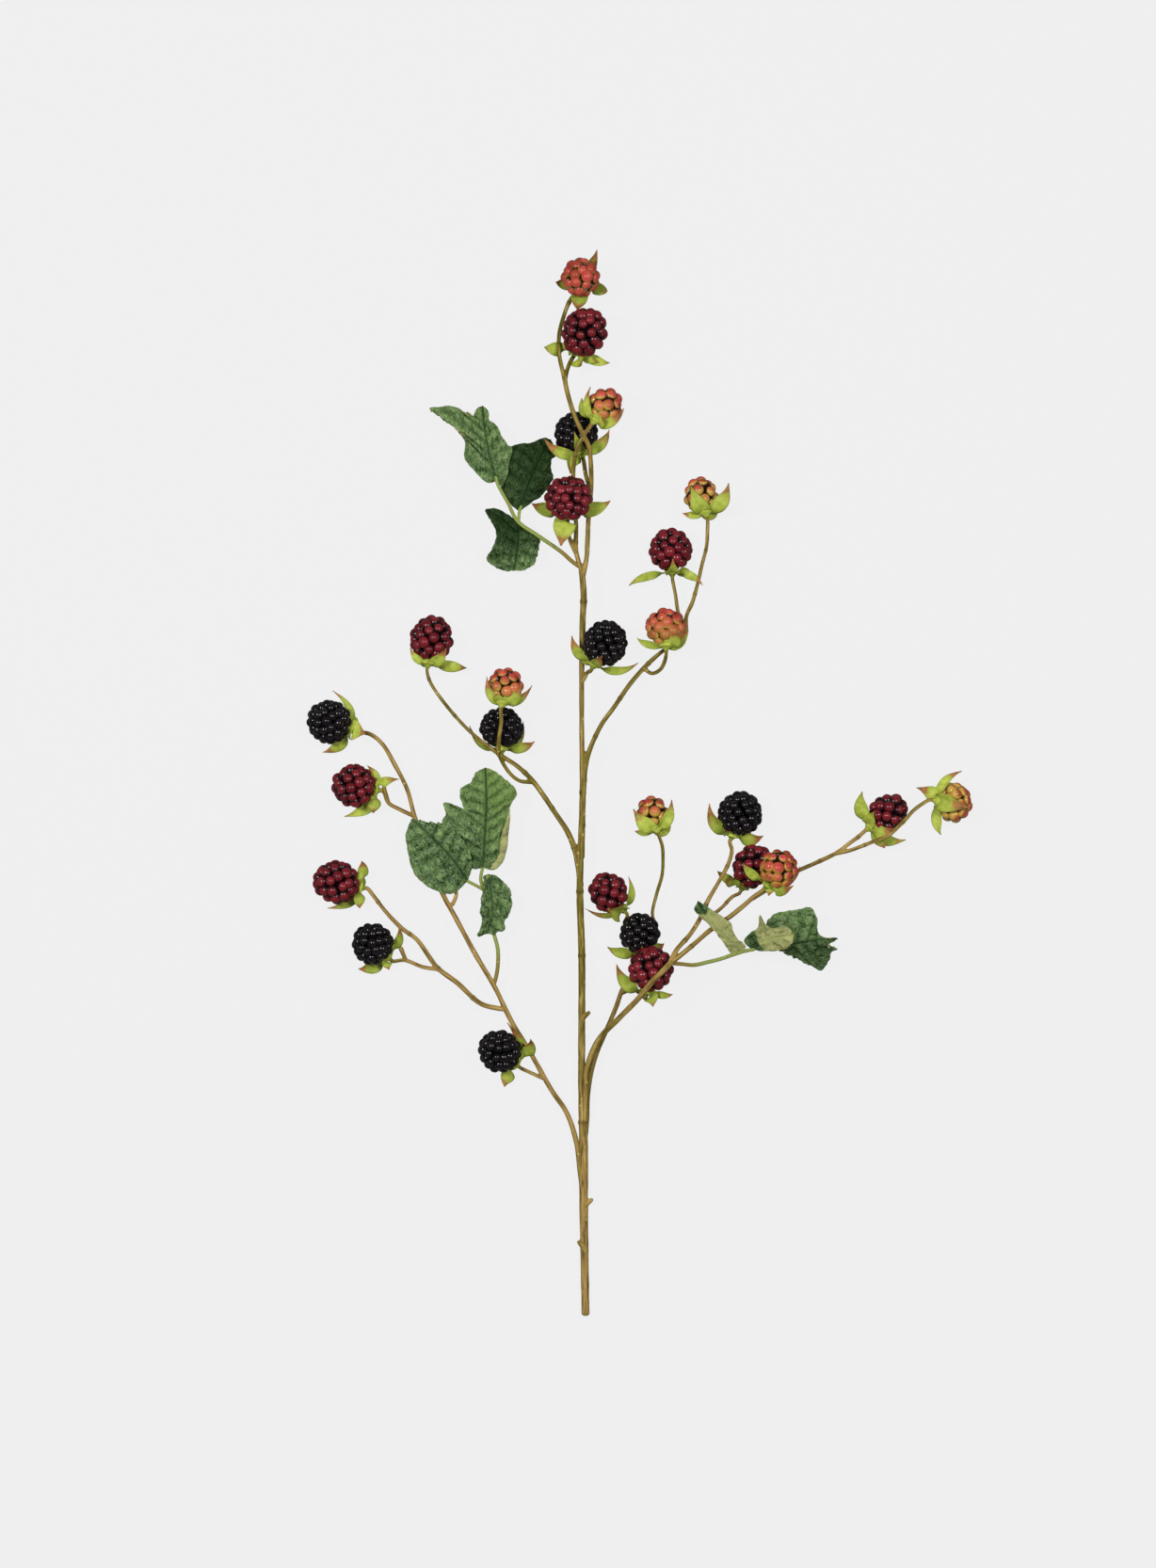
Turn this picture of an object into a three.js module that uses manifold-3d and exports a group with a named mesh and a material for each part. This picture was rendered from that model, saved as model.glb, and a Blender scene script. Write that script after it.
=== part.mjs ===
// A bramble sprig, cut and laid down on a flat surface: a cane that ends in a top shoot, five side
// shoots, twenty-six berries at four stages of ripeness, each in its own calyx, and three compound leaves.
// Millimetres, +Z up. Places are measured from the middle of the cane's cut end, with x to the right,
// y along the cane to its tip and z above the surface. The finished group is then moved so that its
// origin is the middle of the underside of its box.
import * as THREE from "three";
import { mergeVertices } from "three/addons/utils/BufferGeometryUtils.js";
import Module from "manifold-3d";

const wasm = await Module();
wasm.setup();

// Driving dimensions.
const UP = new THREE.Vector3(0, 0, 1);
const GAP = 0.3; // clear space between neighbouring pieces
const TRIM_GAP = 0.2; // clear space where one piece is trimmed round another
const SLIVER = 0.04; // features thinner than this are dropped
const STEM_SIDES = 6; // sides of a stem's section
const STEM_STEP = 8.5; // length of one straight step along a stem
const BERRY_SLICES = 10;
const BERRY_RINGS = 6;
const CALYX_SIDES = 6;
const CALYX_PLATE = 1.4; // thickness of the plate that the berry sits on
const CALYX_PLATE_SHARE = 0.2; // radius of the plate as a share of the berry's width
const CALYX_NECK = 1.6; // length of the neck that takes the stalk
const NECK_MOUTH_RADIUS = 1.3; // where the neck meets the stalk
const NECK_WAIST_RADIUS = 1.7; // halfway up the neck
const STALK_RUN_IN = 1.5; // straight end of a stalk, in line with the berry's axis
const SEPAL_THICK = 0.9;
const SEPAL_CLEARANCE = 0.9; // from the berry's body to a sepal's inner face
const SEPAL_EDGE_CLEARANCE = 0.7; // and to its edges
const SEPAL_STATIONS = 5;
const SEPAL_BEND = 0.75; // how far out a sepal runs along its plate before it turns to its tip
const SEPAL_ROOT_SHARE = 0.78; // a sepal's width at its root, as a share of its full width
const SEPAL_FULL_FROM = 0.3; // where along it that width becomes full
const SEPAL_TAPER_FROM = 0.42; // where it starts to narrow
const SEPAL_TIP_SHARE = 0.12; // width at its tip, as a share of its full width
const SEPAL_TURN = 0.8; // how far a sepal's face turns from the berry towards the sky...
const SEPAL_TURNED_AT = 0.45; // ...by this share of its length
const LEAF_THICK = 0.9;
const LEAF_STATIONS = 13;
const LEAFLET_END = 0.4; // half width of a leaflet at its base and tip

// Ripeness of a berry: its colour and gloss.
const BLACK = { color: "#151015", roughness: 0.25 };
const BURGUNDY = { color: "#6a1a26", roughness: 0.3 };
const RED = { color: "#b8433a", roughness: 0.4 };
const ORANGE = { color: "#c66b3d", roughness: 0.4 };

const STEM_BARK = { color: "#8a7536", roughness: 0.7 };
const SEPAL_GREEN = { color: "#93a83a", roughness: 0.65 };
const LEAF_GREEN = { color: "#3f6f3c", roughness: 0.7 };

// Each berry: its middle, its size across and along its own axis, where its tip points (heading round
// from +x, pitch above the surface), its ripeness, and each sepal as the place of its tip from the
// berry's middle and its width.
const BERRIES = [
  { name: "top_1", at: [-1.5, 549.5, 25], wide: 20.5, long: 20.5, heading: 100, pitch: 75, ripe: RED,
    sepals: [[8.5, 14.5, -4, 5.5], [-13.5, -2, -5, 6.5], [15, -7, -5, 6.5], [-2, -17, -7, 8.5]] },
  { name: "top_2", at: [0.5, 521, 22], wide: 24, long: 28, heading: 65, pitch: 45, ripe: BURGUNDY,
    sepals: [[-21.5, -8, -3, 7.5], [-1, -17.5, -1, 10], [6.5, -15.5, -4, 4.5], [13.5, -16, -5, 5.5]] },
  { name: "top_3", at: [11.5, 482, 24.5], wide: 18.5, long: 18.5, heading: 54, pitch: -10, ripe: ORANGE,
    sepals: [[-12.5, 3.5, 3, 6.5], [-8, 9.5, 6, 4], [-0.5, -8, 8, 8], [9.5, -2, 3, 7]] },
  { name: "top_4", at: [-4, 468, 12], wide: 23.5, long: 22, heading: 105, pitch: -12, ripe: BLACK,
    sepals: [[-17, -3, 4, 6], [-3, -22, 4, 7], [17.5, 1.5, 3, 6], [-1, 0, 14, 5]] },
  { name: "top_5", at: [-8, 433, 29], wide: 25.5, long: 21, heading: 88, pitch: 50, ripe: BURGUNDY,
    sepals: [[-19.5, -2.5, -5, 7.5], [22, -1.5, -5, 7.5], [-4, -25, -6, 11.5]] },
  { name: "right_mid_1", at: [62, 435, 11], wide: 18.5, long: 19.5, heading: 105, pitch: -20, ripe: ORANGE,
    sepals: [[-5.5, 4.5, 9, 9], [14.5, 6, 4, 8], [-9.5, -9.5, 3, 4], [3, 4, -8, 8]] },
  { name: "right_mid_2", at: [46, 406, 12], wide: 23.5, long: 22.5, heading: 94, pitch: 12, ripe: BURGUNDY,
    sepals: [[-22, -19, -2, 4.5], [17, -19, 2.5, 4.5], [1, -5, 10, 7], [11.5, -13, -6, 5]] },
  { name: "right_mid_3", at: [43.5, 365, 23], wide: 22, long: 19.5, heading: 90, pitch: -15, ripe: ORANGE,
    sepals: [[-15.5, -6, 2, 4], [6.5, -2, 9, 8], [11, -2, 2, 5.5]] },
  { name: "main_1", at: [11.5, 356.5, 22], wide: 23.5, long: 24.5, heading: 62, pitch: 10, ripe: BLACK,
    sepals: [[-17.5, 4, 2, 5.5], [-1.5, -6.5, 11, 6.5], [17.5, -10.5, -2, 4.5], [-12, -4, -5, 5]] },
  { name: "left_mid_1", at: [-80.5, 359, 11.5], wide: 23, long: 25, heading: 82, pitch: -8, ripe: BURGUNDY,
    sepals: [[-11, -5, 3, 4], [8, -5, 9, 6], [18.5, -15.5, -1, 6], [-4.5, -5, -9, 6]] },
  { name: "left_mid_2", at: [-41.5, 334, 22.7], wide: 19.5, long: 19, heading: 80, pitch: -20, ripe: ORANGE,
    sepals: [[-9.5, 4.5, 4, 4.5], [9, -1, 7, 7.5], [14, 0, 2, 4.5], [-4, -4, 8, 5]] },
  { name: "left_mid_3", at: [-43.5, 312, 11.8], wide: 23.5, long: 21.5, heading: 90, pitch: 8, ripe: BLACK,
    sepals: [[-17, 0.5, 2, 4], [17.5, -7.5, 1, 5.5], [11.5, 3, -5, 5]] },
  { name: "left_low_1", at: [-135, 315, 11.8], wide: 23.5, long: 23.5, heading: 160, pitch: 15, ripe: BLACK,
    sepals: [[2, 16.5, -2, 4], [19.5, -6.5, 1, 10.5], [-3.5, -16, -6, 6.5], [11, 4, -6, 6]] },
  { name: "left_low_2", at: [-122, 281, 11.6], wide: 23, long: 23, heading: 170, pitch: 10, ripe: BURGUNDY,
    sepals: [[24.5, 3.5, 3, 5.5], [-5, -16, -7, 7], [10.5, -14.5, -1, 7.5], [7, 10.5, -3, 5]] },
  { name: "left_low_3", at: [-131, 230, 12], wide: 23, long: 25, heading: 168, pitch: 12, ripe: BURGUNDY,
    sepals: [[13, 11.5, 2, 6], [12.5, -14, -1, 6], [-5, -14, -7, 5.5], [9, 3, -9, 6]] },
  { name: "left_low_4", at: [-112, 197.5, 11.2], wide: 22.5, long: 22, heading: 138, pitch: 25, ripe: BLACK,
    sepals: [[-7.5, -13.5, -6, 7.5], [9, -14, -2, 6], [14, 9, 2, 5]] },
  { name: "left_low_5", at: [-44.5, 140.5, 12], wide: 22.5, long: 23.5, heading: 140, pitch: 30, ripe: BLACK,
    sepals: [[3.5, 15.5, 4, 5], [16, 7, 6, 7.5], [2.5, -19, -6, 7.5]] },
  { name: "right_back_1", at: [36.5, 266.5, 11], wide: 17.5, long: 18.5, heading: 105, pitch: -30,
    ripe: ORANGE,
    sepals: [[-10, 2, 5, 8], [10, 7, 4, 6], [-9.5, -9.5, 3, 4.5], [3.5, 3.5, -8, 7]] },
  { name: "right_back_2", at: [13, 224.5, 11], wide: 20.5, long: 22, heading: 131, pitch: 8, ripe: BURGUNDY,
    sepals: [[-12.5, -8.5, -2, 3], [-0.5, -8, 9.5, 9], [10.5, 8.5, 1, 4]] },
  { name: "right_back_3", at: [29.5, 203.5, 15.5], wide: 21.5, long: 21, heading: 100, pitch: 20, ripe: BLACK,
    sepals: [[-17, -7.5, -2, 6], [1, -6, 8, 4.5], [13, -6, -4, 6]] },
  { name: "right_back_4", at: [35.5, 184.5, 27], wide: 23.5, long: 24, heading: 80, pitch: 15, ripe: BURGUNDY,
    sepals: [[-18, 2.5, 1, 7.5], [1, -20, 3, 8], [11.5, -13.5, 2, 4]] },
  { name: "right_front_1", at: [83, 266.5, 11.8], wide: 23.5, long: 23.5, heading: 70, pitch: 10, ripe: BLACK,
    sepals: [[-16.5, 5, 1, 6.5], [12, -12, 2, 7], [-8, -8.5, 6, 4.5]] },
  { name: "right_front_2", at: [89.5, 238.5, 11], wide: 21, long: 24, heading: 65, pitch: 20, ripe: BURGUNDY,
    sepals: [[-14, -6, 4, 6], [-5, -8.5, 8, 6], [-18.5, -2.5, -3, 5]] },
  { name: "right_front_3", at: [103, 237.5, 28], wide: 20.5, long: 20.5, heading: 55, pitch: 20, ripe: RED,
    sepals: [[-19, 2.5, 1, 5], [7.5, -9, 6, 6.5], [-5.5, -14.5, -3, 6], [10.5, 1.5, -2, 5]] },
  { name: "right_front_4", at: [161, 266.5, 10.5], wide: 20, long: 23, heading: 38, pitch: -8, ripe: BURGUNDY,
    sepals: [[-13.5, 11.5, 8, 7.5], [-7, 1, 10, 7], [-1.5, -18.5, 3, 6], [9.5, -14, -1, 7],
      [3.5, -8, 9, 7]] },
  { name: "right_front_5", at: [196.5, 272, 11.5], wide: 21.5, long: 18, heading: -7, pitch: -15,
    ripe: ORANGE,
    sepals: [[3.5, 16.5, 2, 4.5], [-20.5, 8, 4, 8], [7.5, -2.5, 11, 9], [-7.5, -17, 3, 5.5]] },
];

// Routes of the stems, from root to end: x, y, z and the radius there.
// A stalk that carries a berry runs on from its last point into that berry's neck.
const CANE = [
  [1, 0.5, 2.1, 2.1], [0.5, 29, 2.6, 2.15], [0, 61, 3.6, 2.35], [0, 85, 4.6, 2.4], [-1, 124, 6.5, 1.95],
  [-1, 159, 8.2, 1.85], [-1, 191, 9.6, 1.85], [-2, 225, 11, 1.8], [-1.5, 249, 11.8, 1.65],
  [-0.5, 277.5, 12.5, 1.65], [-1, 309, 13.3, 1.3], [-1, 344.5, 14.3, 1.4], [-0.5, 369.5, 15.3, 1.65],
  [0, 381.5, 16, 1.65], [-1, 395, 16.8, 1.7],
];
const CANE_BUD_1 = [
  [0, 58, 3.4, 1.8], [4.5, 61.5, 4.4, 1],
];
const CANE_BUD_2 = [
  [0.5, 35.5, 2.8, 1.7], [-3, 39, 3.2, 0.9],
];
const CANE_BUD_3 = [
  [-1, 157, 8.1, 1.3], [3, 161, 9.4, 1],
];
const TOP_SHOOT = [
  [-0.5, 392, 16.7, 1.5], [1.5, 401.5, 17.2, 1.25], [2, 410, 17.5, 1.25], [2.5, 421.5, 16.8, 1.25],
  [4, 442, 19.5, 1.25], [2.5, 460.5, 26.5, 1.25], [-0.5, 466.5, 28.2, 1.25], [-6, 479.5, 29, 1.25],
  [-9.5, 492.5, 26.5, 1.25], [-10, 496.5, 24.5, 1.25],
];
const TOP_1_STALK = [
  [-10, 495, 25, 1.2], [-11.5, 501.5, 22, 1.1], [-13, 509.5, 18.5, 1.1], [-13, 519, 15, 1.1],
  [-11.5, 526.5, 12.5, 1.1], [-7, 538.5, 10.5, 1.1],
];
const TOP_2_STALK = [
  [-10, 495, 25, 1.2], [-8.5, 501.5, 20, 1.1], [-6.5, 506.5, 13, 1.1],
];
const TOP_3_STALK = [
  [-1, 394, 16.8, 1.3], [-4, 405.5, 15.5, 1.2], [-4, 419, 15, 1.15], [-5.5, 434, 15.5, 1.1],
  [-5.5, 445.5, 18.5, 1.1], [-5, 452, 22, 1.1], [-3, 460, 26, 1.1], [0.5, 466.5, 27.5, 1.1],
];
const TOP_4_STALK = [
  [3.5, 437, 18.6, 1.1], [1, 446, 16.8, 1.1],
];
const TOP_5_STALK = [
  [-4, 404, 15.7, 1.1], [-7, 410.5, 15.5, 1.1], [-8.5, 417.5, 16, 1.1],
];
const MAIN_1_STALK = [
  [-1, 336, 14, 1.05], [0.5, 338, 14.5, 1.05], [2, 341, 15.5, 1.05],
];
const LEFT_MID_SHOOT = [
  [-1.5, 228, 11, 1.5], [-4.5, 246.5, 12, 1.5], [-8.5, 256.5, 13, 1.45], [-15, 266.5, 14, 1.35],
  [-26.5, 283, 16, 1.3], [-34, 290.5, 17, 1.2], [-42, 296, 17.5, 1.15], [-51.5, 302.5, 17, 1],
  [-62.5, 312, 16, 0.95], [-75, 326.5, 14.5, 0.9], [-81.5, 336.5, 13.5, 0.9],
];
const LEFT_MID_TWIN = [
  [-26.5, 283, 16, 1.2], [-33.5, 283.5, 15.2, 0.95], [-38.5, 287, 15.4, 1], [-43, 293.5, 16.5, 1],
  [-45.5, 299, 17.5, 1],
];
const LEFT_MID_2_STALK = [
  [-45, 297, 17.5, 1.1], [-45, 301.5, 21, 1.1], [-44.5, 307.5, 25.5, 1], [-43.5, 315, 27, 1],
];
const LEFT_MID_3_STALK = [
  [-42, 295, 17, 1.05], [-43, 296, 12, 1.05],
];
const RIGHT_MID_SHOOT = [
  [-1, 243, 11.5, 1.5], [0, 279, 12.7, 1.35], [1, 291, 13, 1.35], [3, 299.5, 13.3, 1.3],
  [9.5, 313.5, 13.7, 1.2], [16, 322.5, 13.8, 1.2], [25, 335.5, 13.2, 1.2], [34, 345.5, 12, 1.2],
  [42, 352.5, 10.5, 1.05], [53.5, 360, 10, 1.05], [54.5, 371, 10, 1.05], [57.5, 378, 10.5, 1.05],
  [60.5, 388.5, 11.5, 0.95], [62.5, 397.5, 12.5, 0.95], [65, 407.5, 14, 0.95], [65.5, 416, 15, 0.95],
];
const RIGHT_MID_2_STALK = [
  [54, 365, 10, 1.05], [50.5, 371.5, 9.5, 0.95], [48.5, 383, 9, 0.95],
];
const RIGHT_MID_3_STALK = [
  [32, 343, 12.4, 1.1], [36, 340.5, 14, 1], [40.5, 342.5, 18, 1], [43, 347.5, 23, 1],
];
const LEFT_LOW_SHOOT = [
  [-2, 77, 4.8, 1.35], [-4, 92.5, 5, 1.35], [-9, 107.5, 5.5, 1.3], [-17, 119.5, 6, 1.3],
  [-28, 139, 7, 1.25], [-38.5, 156.5, 7.6, 1.3], [-47, 174, 8.2, 1.25], [-57, 191, 8.8, 1.3],
  [-67, 209.5, 9.4, 1.25], [-75, 224.5, 9.8, 1.3], [-82.5, 245, 9.8, 1.2], [-89.5, 264.5, 9.4, 1.15],
  [-93.5, 279, 9.2, 1.1], [-100, 292, 9, 1.15], [-107, 303.5, 8.6, 1.1],
];
const LEFT_LOW_1_STALK = [
  [-113.5, 308.5, 8.3, 1.1],
];
const LEFT_LOW_TWIN = [
  [-69.5, 218, 9.6, 1.1], [-67.5, 223.5, 9.8, 1], [-70, 231.5, 10, 0.95], [-75, 241.5, 10, 0.95],
  [-82, 247.5, 9.8, 0.95],
];
const LEFT_LOW_2_STALK = [
  [-89, 264.5, 9.4, 1.1], [-97.5, 268.5, 9.3, 1.05], [-103.5, 272, 9.2, 1.05],
];
const LEFT_LOW_2_STUB = [
  [-103.5, 272, 9.2, 1.1], [-106, 281, 10, 1],
];
const LEFT_LOW_TWIG = [
  [-43, 162.5, 8, 1.3], [-54.5, 165.5, 8, 1.3], [-67, 176.5, 7.8, 1.3], [-77.5, 184.5, 7.6, 1.3],
  [-88.5, 199.5, 8, 1.15], [-96.5, 205.5, 8.2, 1.15], [-105.5, 215, 8.6, 1.05], [-112, 223.5, 8.8, 1.05],
];
const LEFT_LOW_4_STALK = [
  [-76.5, 183.5, 7.6, 1.05], [-85.5, 185, 7.2, 1], [-95, 188.5, 6.2, 1],
];
const LEFT_LOW_4_STUB = [
  [-94.5, 189, 6.5, 1.05], [-97, 195, 8, 1.25],
];
const LEFT_LOW_5_STALK = [
  [-22, 126, 6.4, 1], [-27.5, 128.5, 6, 0.95],
];
const RIGHT_FRONT_SHOOT = [
  [1, 124, 9.6, 1.4], [1.5, 130.5, 10.5, 1.45], [7.5, 146, 14, 1.45], [18, 157.5, 21.5, 1.45],
  [28.5, 168.5, 30.5, 1.45], [36.5, 178.5, 38.4, 1.5], [41, 183, 39.8, 1.5], [46, 188, 37.5, 1.5],
];
const RIGHT_FRONT_1_STALK = [
  [45, 187, 38, 1.4], [48.5, 194, 34, 1.25], [56, 202.5, 28, 1.2], [61.5, 211, 23, 1.2],
  [65.5, 220, 19, 1.15], [70.5, 228.5, 16.5, 1.05], [76.5, 239.5, 13.5, 1.05], [78.5, 247, 11, 1.05],
];
const RIGHT_FRONT_2_STALK = [
  [63, 214, 22, 1.05], [68.5, 213.5, 18, 1], [73, 216.5, 14.5, 0.95], [78.5, 222, 11, 0.95],
];
const RIGHT_FRONT_3_STALK = [
  [45, 187, 38, 1.4], [57.5, 197, 31.5, 1.25], [67, 205, 27, 1.25], [76, 211, 25, 1.25],
  [83, 216.5, 24.5, 1.25], [90, 222.5, 24, 1.2],
];
const RIGHT_FRONT_TWIG = [
  [88.5, 221, 24.3, 1.1], [96, 225.5, 19, 1.1], [104, 231, 15.5, 1.1], [113.5, 236, 13.5, 1.1],
  [122.5, 240, 12.8, 1.1], [134, 245.5, 12.3, 1.1], [140, 250, 12.3, 1.05], [145.5, 254, 12.4, 1.05],
];
const RIGHT_FRONT_5_STALK = [
  [133, 245, 12.4, 1.1], [140, 246.5, 13.5, 1], [147, 249, 15.5, 1], [154.5, 252, 17, 1],
  [161.5, 255, 18, 1], [166, 259, 17.3, 1], [170.5, 263.5, 17.3, 1], [174, 267.5, 16.5, 1],
  [178.5, 271, 15.5, 1],
];
const RIGHT_BACK_SHOOT = [
  [1.5, 104, 3.8, 1.5], [2, 116.5, 4.4, 1.45], [4, 129.5, 5.2, 1.35], [7, 139.5, 6.2, 1.3],
  [14, 156, 8, 1.25], [17.5, 164.5, 9, 1.25], [21, 174, 9.8, 1.15], [27, 181, 8.5, 1],
  [34, 190, 6.5, 1], [38.5, 199, 4.6, 0.95], [38.5, 206.5, 4.2, 0.9], [36.5, 212.5, 5, 0.9],
  [38.5, 223, 7.5, 0.9], [41.5, 233.5, 10, 0.9], [42, 241.5, 12.5, 0.9], [41.5, 249.5, 15.5, 0.9],
];
const RIGHT_BACK_2_STALK = [
  [26.5, 180.5, 8.6, 1], [28, 189, 6, 0.95], [26.5, 197, 3.2, 0.95], [24, 203.5, 3.4, 0.95],
  [22, 208.5, 6, 0.95],
];
const RIGHT_BACK_3_STALK = [
  [31, 185.5, 7.6, 1], [32.5, 188.5, 9, 0.95],
];
const RIGHT_BACK_4_STALK = [
  [20, 171, 9.6, 1.05], [26, 173, 14, 0.95], [30, 171, 19, 0.95],
];

// Compound leaves. A leaflet is its midrib and its left and right edges, each from base to tip.
const LEAVES = [
  {
    name: "leaf_upper_left",
    stalks: [
      [
        [-6.5, 400, 16.3, 1.05], [-11.5, 404.5, 16.5, 1.05], [-24.5, 413.5, 17.2, 1.05],
        [-35, 421, 18, 1], [-40, 430.5, 18.6, 0.9], [-45.5, 440.5, 19, 0.85],
        [-46.5, 444.5, 18.8, 0.75],
      ],
      [
        [-34.5, 420.5, 18, 0.9], [-34, 426, 17.4, 0.85], [-33, 429, 16.6, 0.75],
      ],
    ],
    leaflets: [
      {
        rib: [
          [-46, 442, 19], [-49.5, 454, 19], [-52, 468, 18], [-53.5, 482, 15.3],
        ],
        left: [
          [-51, 441.5, 18.5], [-57.5, 447.5, 18], [-63, 455, 17.5], [-62.7, 463, 17],
          [-68.5, 470.3, 15.5], [-75, 476.2, 13.5], [-81.3, 480.8, 12], [-76, 481.6, 13],
          [-70.6, 482.2, 14.5], [-64.3, 479.8, 16], [-60.5, 476.5, 17], [-59, 475, 17.6],
          [-57.6, 478.5, 17], [-55.5, 481.3, 16],
        ],
        right: [
          [-43.5, 439.5, 18], [-41, 445, 17.5], [-39.4, 452.5, 17.2], [-38.2, 458.5, 17],
          [-41.2, 462.3, 17], [-44.3, 467.4, 17], [-46.6, 472.2, 16.8], [-50, 474.2, 16.5],
          [-50.7, 479.5, 15.8],
        ],
      },
      {
        rib: [
          [-34, 426, 17.5], [-29, 441.5, 17], [-23.5, 454, 13.5], [-17.5, 464.5, 9],
        ],
        left: [
          [-38.5, 430, 16], [-43, 437.5, 15.5], [-43.5, 449, 15], [-41.5, 458, 14.5],
          [-37, 461, 14], [-32.8, 462, 13.5], [-26.5, 463, 12], [-21, 465.3, 10],
        ],
        right: [
          [-30, 429.5, 16], [-24, 433.5, 14.5], [-18.5, 440, 12.5], [-16.5, 445, 11.5],
          [-17.5, 450.5, 11], [-17, 454.5, 10.5], [-15, 456.5, 10], [-15.5, 460.5, 9],
        ],
      },
      {
        rib: [
          [-35, 420.5, 18], [-34.5, 411.5, 17], [-35.5, 403, 14], [-37, 395, 10],
        ],
        left: [
          [-32, 418.5, 16.5], [-27, 416, 15], [-23.5, 412, 13.5], [-24.5, 405, 12], [-26.5, 399, 10.5],
          [-31.5, 395.5, 10],
        ],
        right: [
          [-39.5, 424.5, 17], [-45, 427.5, 15], [-52, 427, 12], [-48.5, 421, 13], [-46, 414, 14],
          [-48, 407, 12], [-51.5, 401, 9], [-47, 397.5, 9], [-42, 395, 9],
        ],
      },
    ],
  },
  {
    name: "leaf_left",
    stalks: [
      [
        [-47, 179, 8.6, 1.05], [-45.5, 185.5, 9.5, 1.05], [-45.5, 194.5, 10.8, 1.05],
        [-47.5, 202.5, 11.8, 1], [-50.5, 214, 12.4, 1], [-52.5, 224.5, 12.8, 1],
        [-54.5, 231.5, 13.2, 0.9], [-53.5, 237.5, 14, 0.85],
      ],
      [
        [-53, 226, 13, 0.9], [-57.5, 228.5, 14.4, 0.85], [-61.5, 230.5, 14.2, 0.85],
      ],
      [
        [-53.5, 229, 13, 0.8], [-51.5, 231.5, 15, 0.7], [-50.5, 233.5, 15.8, 0.65],
      ],
    ],
    leaflets: [
      {
        rib: [
          [-61.5, 230.5, 14.2], [-69, 241.5, 16], [-79, 252.5, 16], [-91, 263.5, 13.5],
        ],
        left: [
          [-65, 227, 13.5], [-69.5, 224, 13], [-75, 224.5, 13], [-82, 227.5, 13.5],
          [-88.5, 233.5, 13.5], [-91.5, 239.5, 13.5], [-93, 246, 13.2], [-94, 253.5, 13],
          [-93, 258.5, 13],
        ],
        right: [
          [-59.5, 237, 14.5], [-59.5, 241, 15], [-61, 247, 15.5], [-64.5, 252.5, 15.5],
          [-68.5, 256.5, 15], [-75, 260.5, 14.5], [-82, 261.5, 14], [-87, 262.5, 13.5],
        ],
      },
      {
        rib: [
          [-53.5, 237.5, 14.8], [-52.5, 254, 16], [-51.5, 271.5, 17], [-52, 290.5, 15.5],
        ],
        left: [
          [-57.5, 237, 13.2], [-63, 241, 12], [-68, 248, 11.6], [-72, 255.5, 11.6],
          [-75, 261.5, 12], [-72.8, 266.5, 12.4], [-74, 271.8, 12], [-67.5, 270.8, 13.4],
          [-62.8, 268.5, 14.5], [-65.2, 275, 15], [-64.2, 280, 15.5], [-59.5, 282.8, 16],
          [-56.8, 288, 15.8],
        ],
        right: [
          [-48.5, 237, 14.4], [-44.2, 240.5, 14.5], [-41.8, 247.5, 14.8], [-41, 254.5, 15.2],
          [-40.2, 262.5, 15.6], [-39, 271, 16], [-35.8, 276.5, 16], [-37.2, 280, 16.2],
          [-42.5, 284.8, 16.3], [-47, 288.3, 16],
        ],
      },
      {
        rib: [
          [-50.5, 234, 16], [-49.3, 227, 17.2], [-48.3, 219.5, 17.6], [-48.5, 211.5, 17],
          [-52, 202.5, 14],
        ],
        left: [
          [-47.5, 233.8, 16.2], [-43, 230.5, 15.8], [-39, 225, 15.2], [-38.5, 218, 14.8],
          [-39.5, 213, 14.6], [-42, 209, 14], [-42, 205.5, 13.8], [-47, 203, 13.6],
        ],
        right: [
          [-52.8, 233.4, 15.6], [-52.3, 228.5, 15.8], [-53.7, 222, 15.6], [-54.5, 214, 15],
          [-53.5, 208, 14], [-55.5, 201, 12],
        ],
      },
    ],
  },
  {
    name: "leaf_right",
    stalks: [
      [
        [47.5, 187.5, 35.5, 1.1], [52.5, 187, 33.5, 1.05], [58, 186.5, 31, 1.05],
        [65.5, 188, 28, 1.05], [72, 189.5, 25.2, 1], [78, 191.5, 23, 1], [84.5, 193.5, 21, 1],
        [90, 194.5, 19.8, 0.9],
      ],
    ],
    leaflets: [
      {
        rib: [
          [84, 194, 21.5], [75.5, 201.5, 29], [67.5, 209, 31.5], [60.5, 220, 27],
        ],
        left: [
          [79, 192, 22.5], [75.5, 196, 27], [70, 203.5, 31], [65.5, 208.5, 31], [58.5, 216, 27.5],
        ],
        right: [
          [85.5, 196, 23], [82, 198.5, 27], [78, 202, 30], [77.5, 208, 31.5], [73.5, 211.5, 32],
          [66, 216.5, 30],
        ],
      },
      {
        rib: [
          [88.5, 194.5, 20], [95, 199, 22.5], [103, 201, 23.5], [111, 202, 22.5],
        ],
        left: [
          [85, 199, 20.5], [88.5, 203.5, 22], [92, 206, 23.5], [93, 212.5, 24.5], [96, 208.5, 25],
          [100, 205.5, 25.3], [105, 207, 25.3], [109, 205, 24],
        ],
        right: [
          [92.5, 194, 20], [98.5, 194, 20.5], [104, 194.5, 21], [109, 196.5, 21.5],
        ],
      },
      {
        rib: [
          [91, 195, 19.6], [107.5, 197, 17.5], [121, 199, 16.5], [134.5, 200, 13.5],
        ],
        left: [
          [95.5, 204, 16], [100, 212.5, 17], [107, 214.5, 17.5], [114, 215.5, 17], [120, 216.5, 16.5],
          [123.5, 210, 16.5], [124, 203, 16.3], [129, 200, 15],
        ],
        right: [
          [100, 194, 17], [107, 193.5, 14.5], [112.5, 190, 12], [118, 187.5, 10], [126.5, 184, 7.5],
          [130, 188.5, 8.5], [131.5, 193, 10], [134.5, 195, 10.5], [129, 196, 12.5],
        ],
      },
    ],
  },
];

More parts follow.
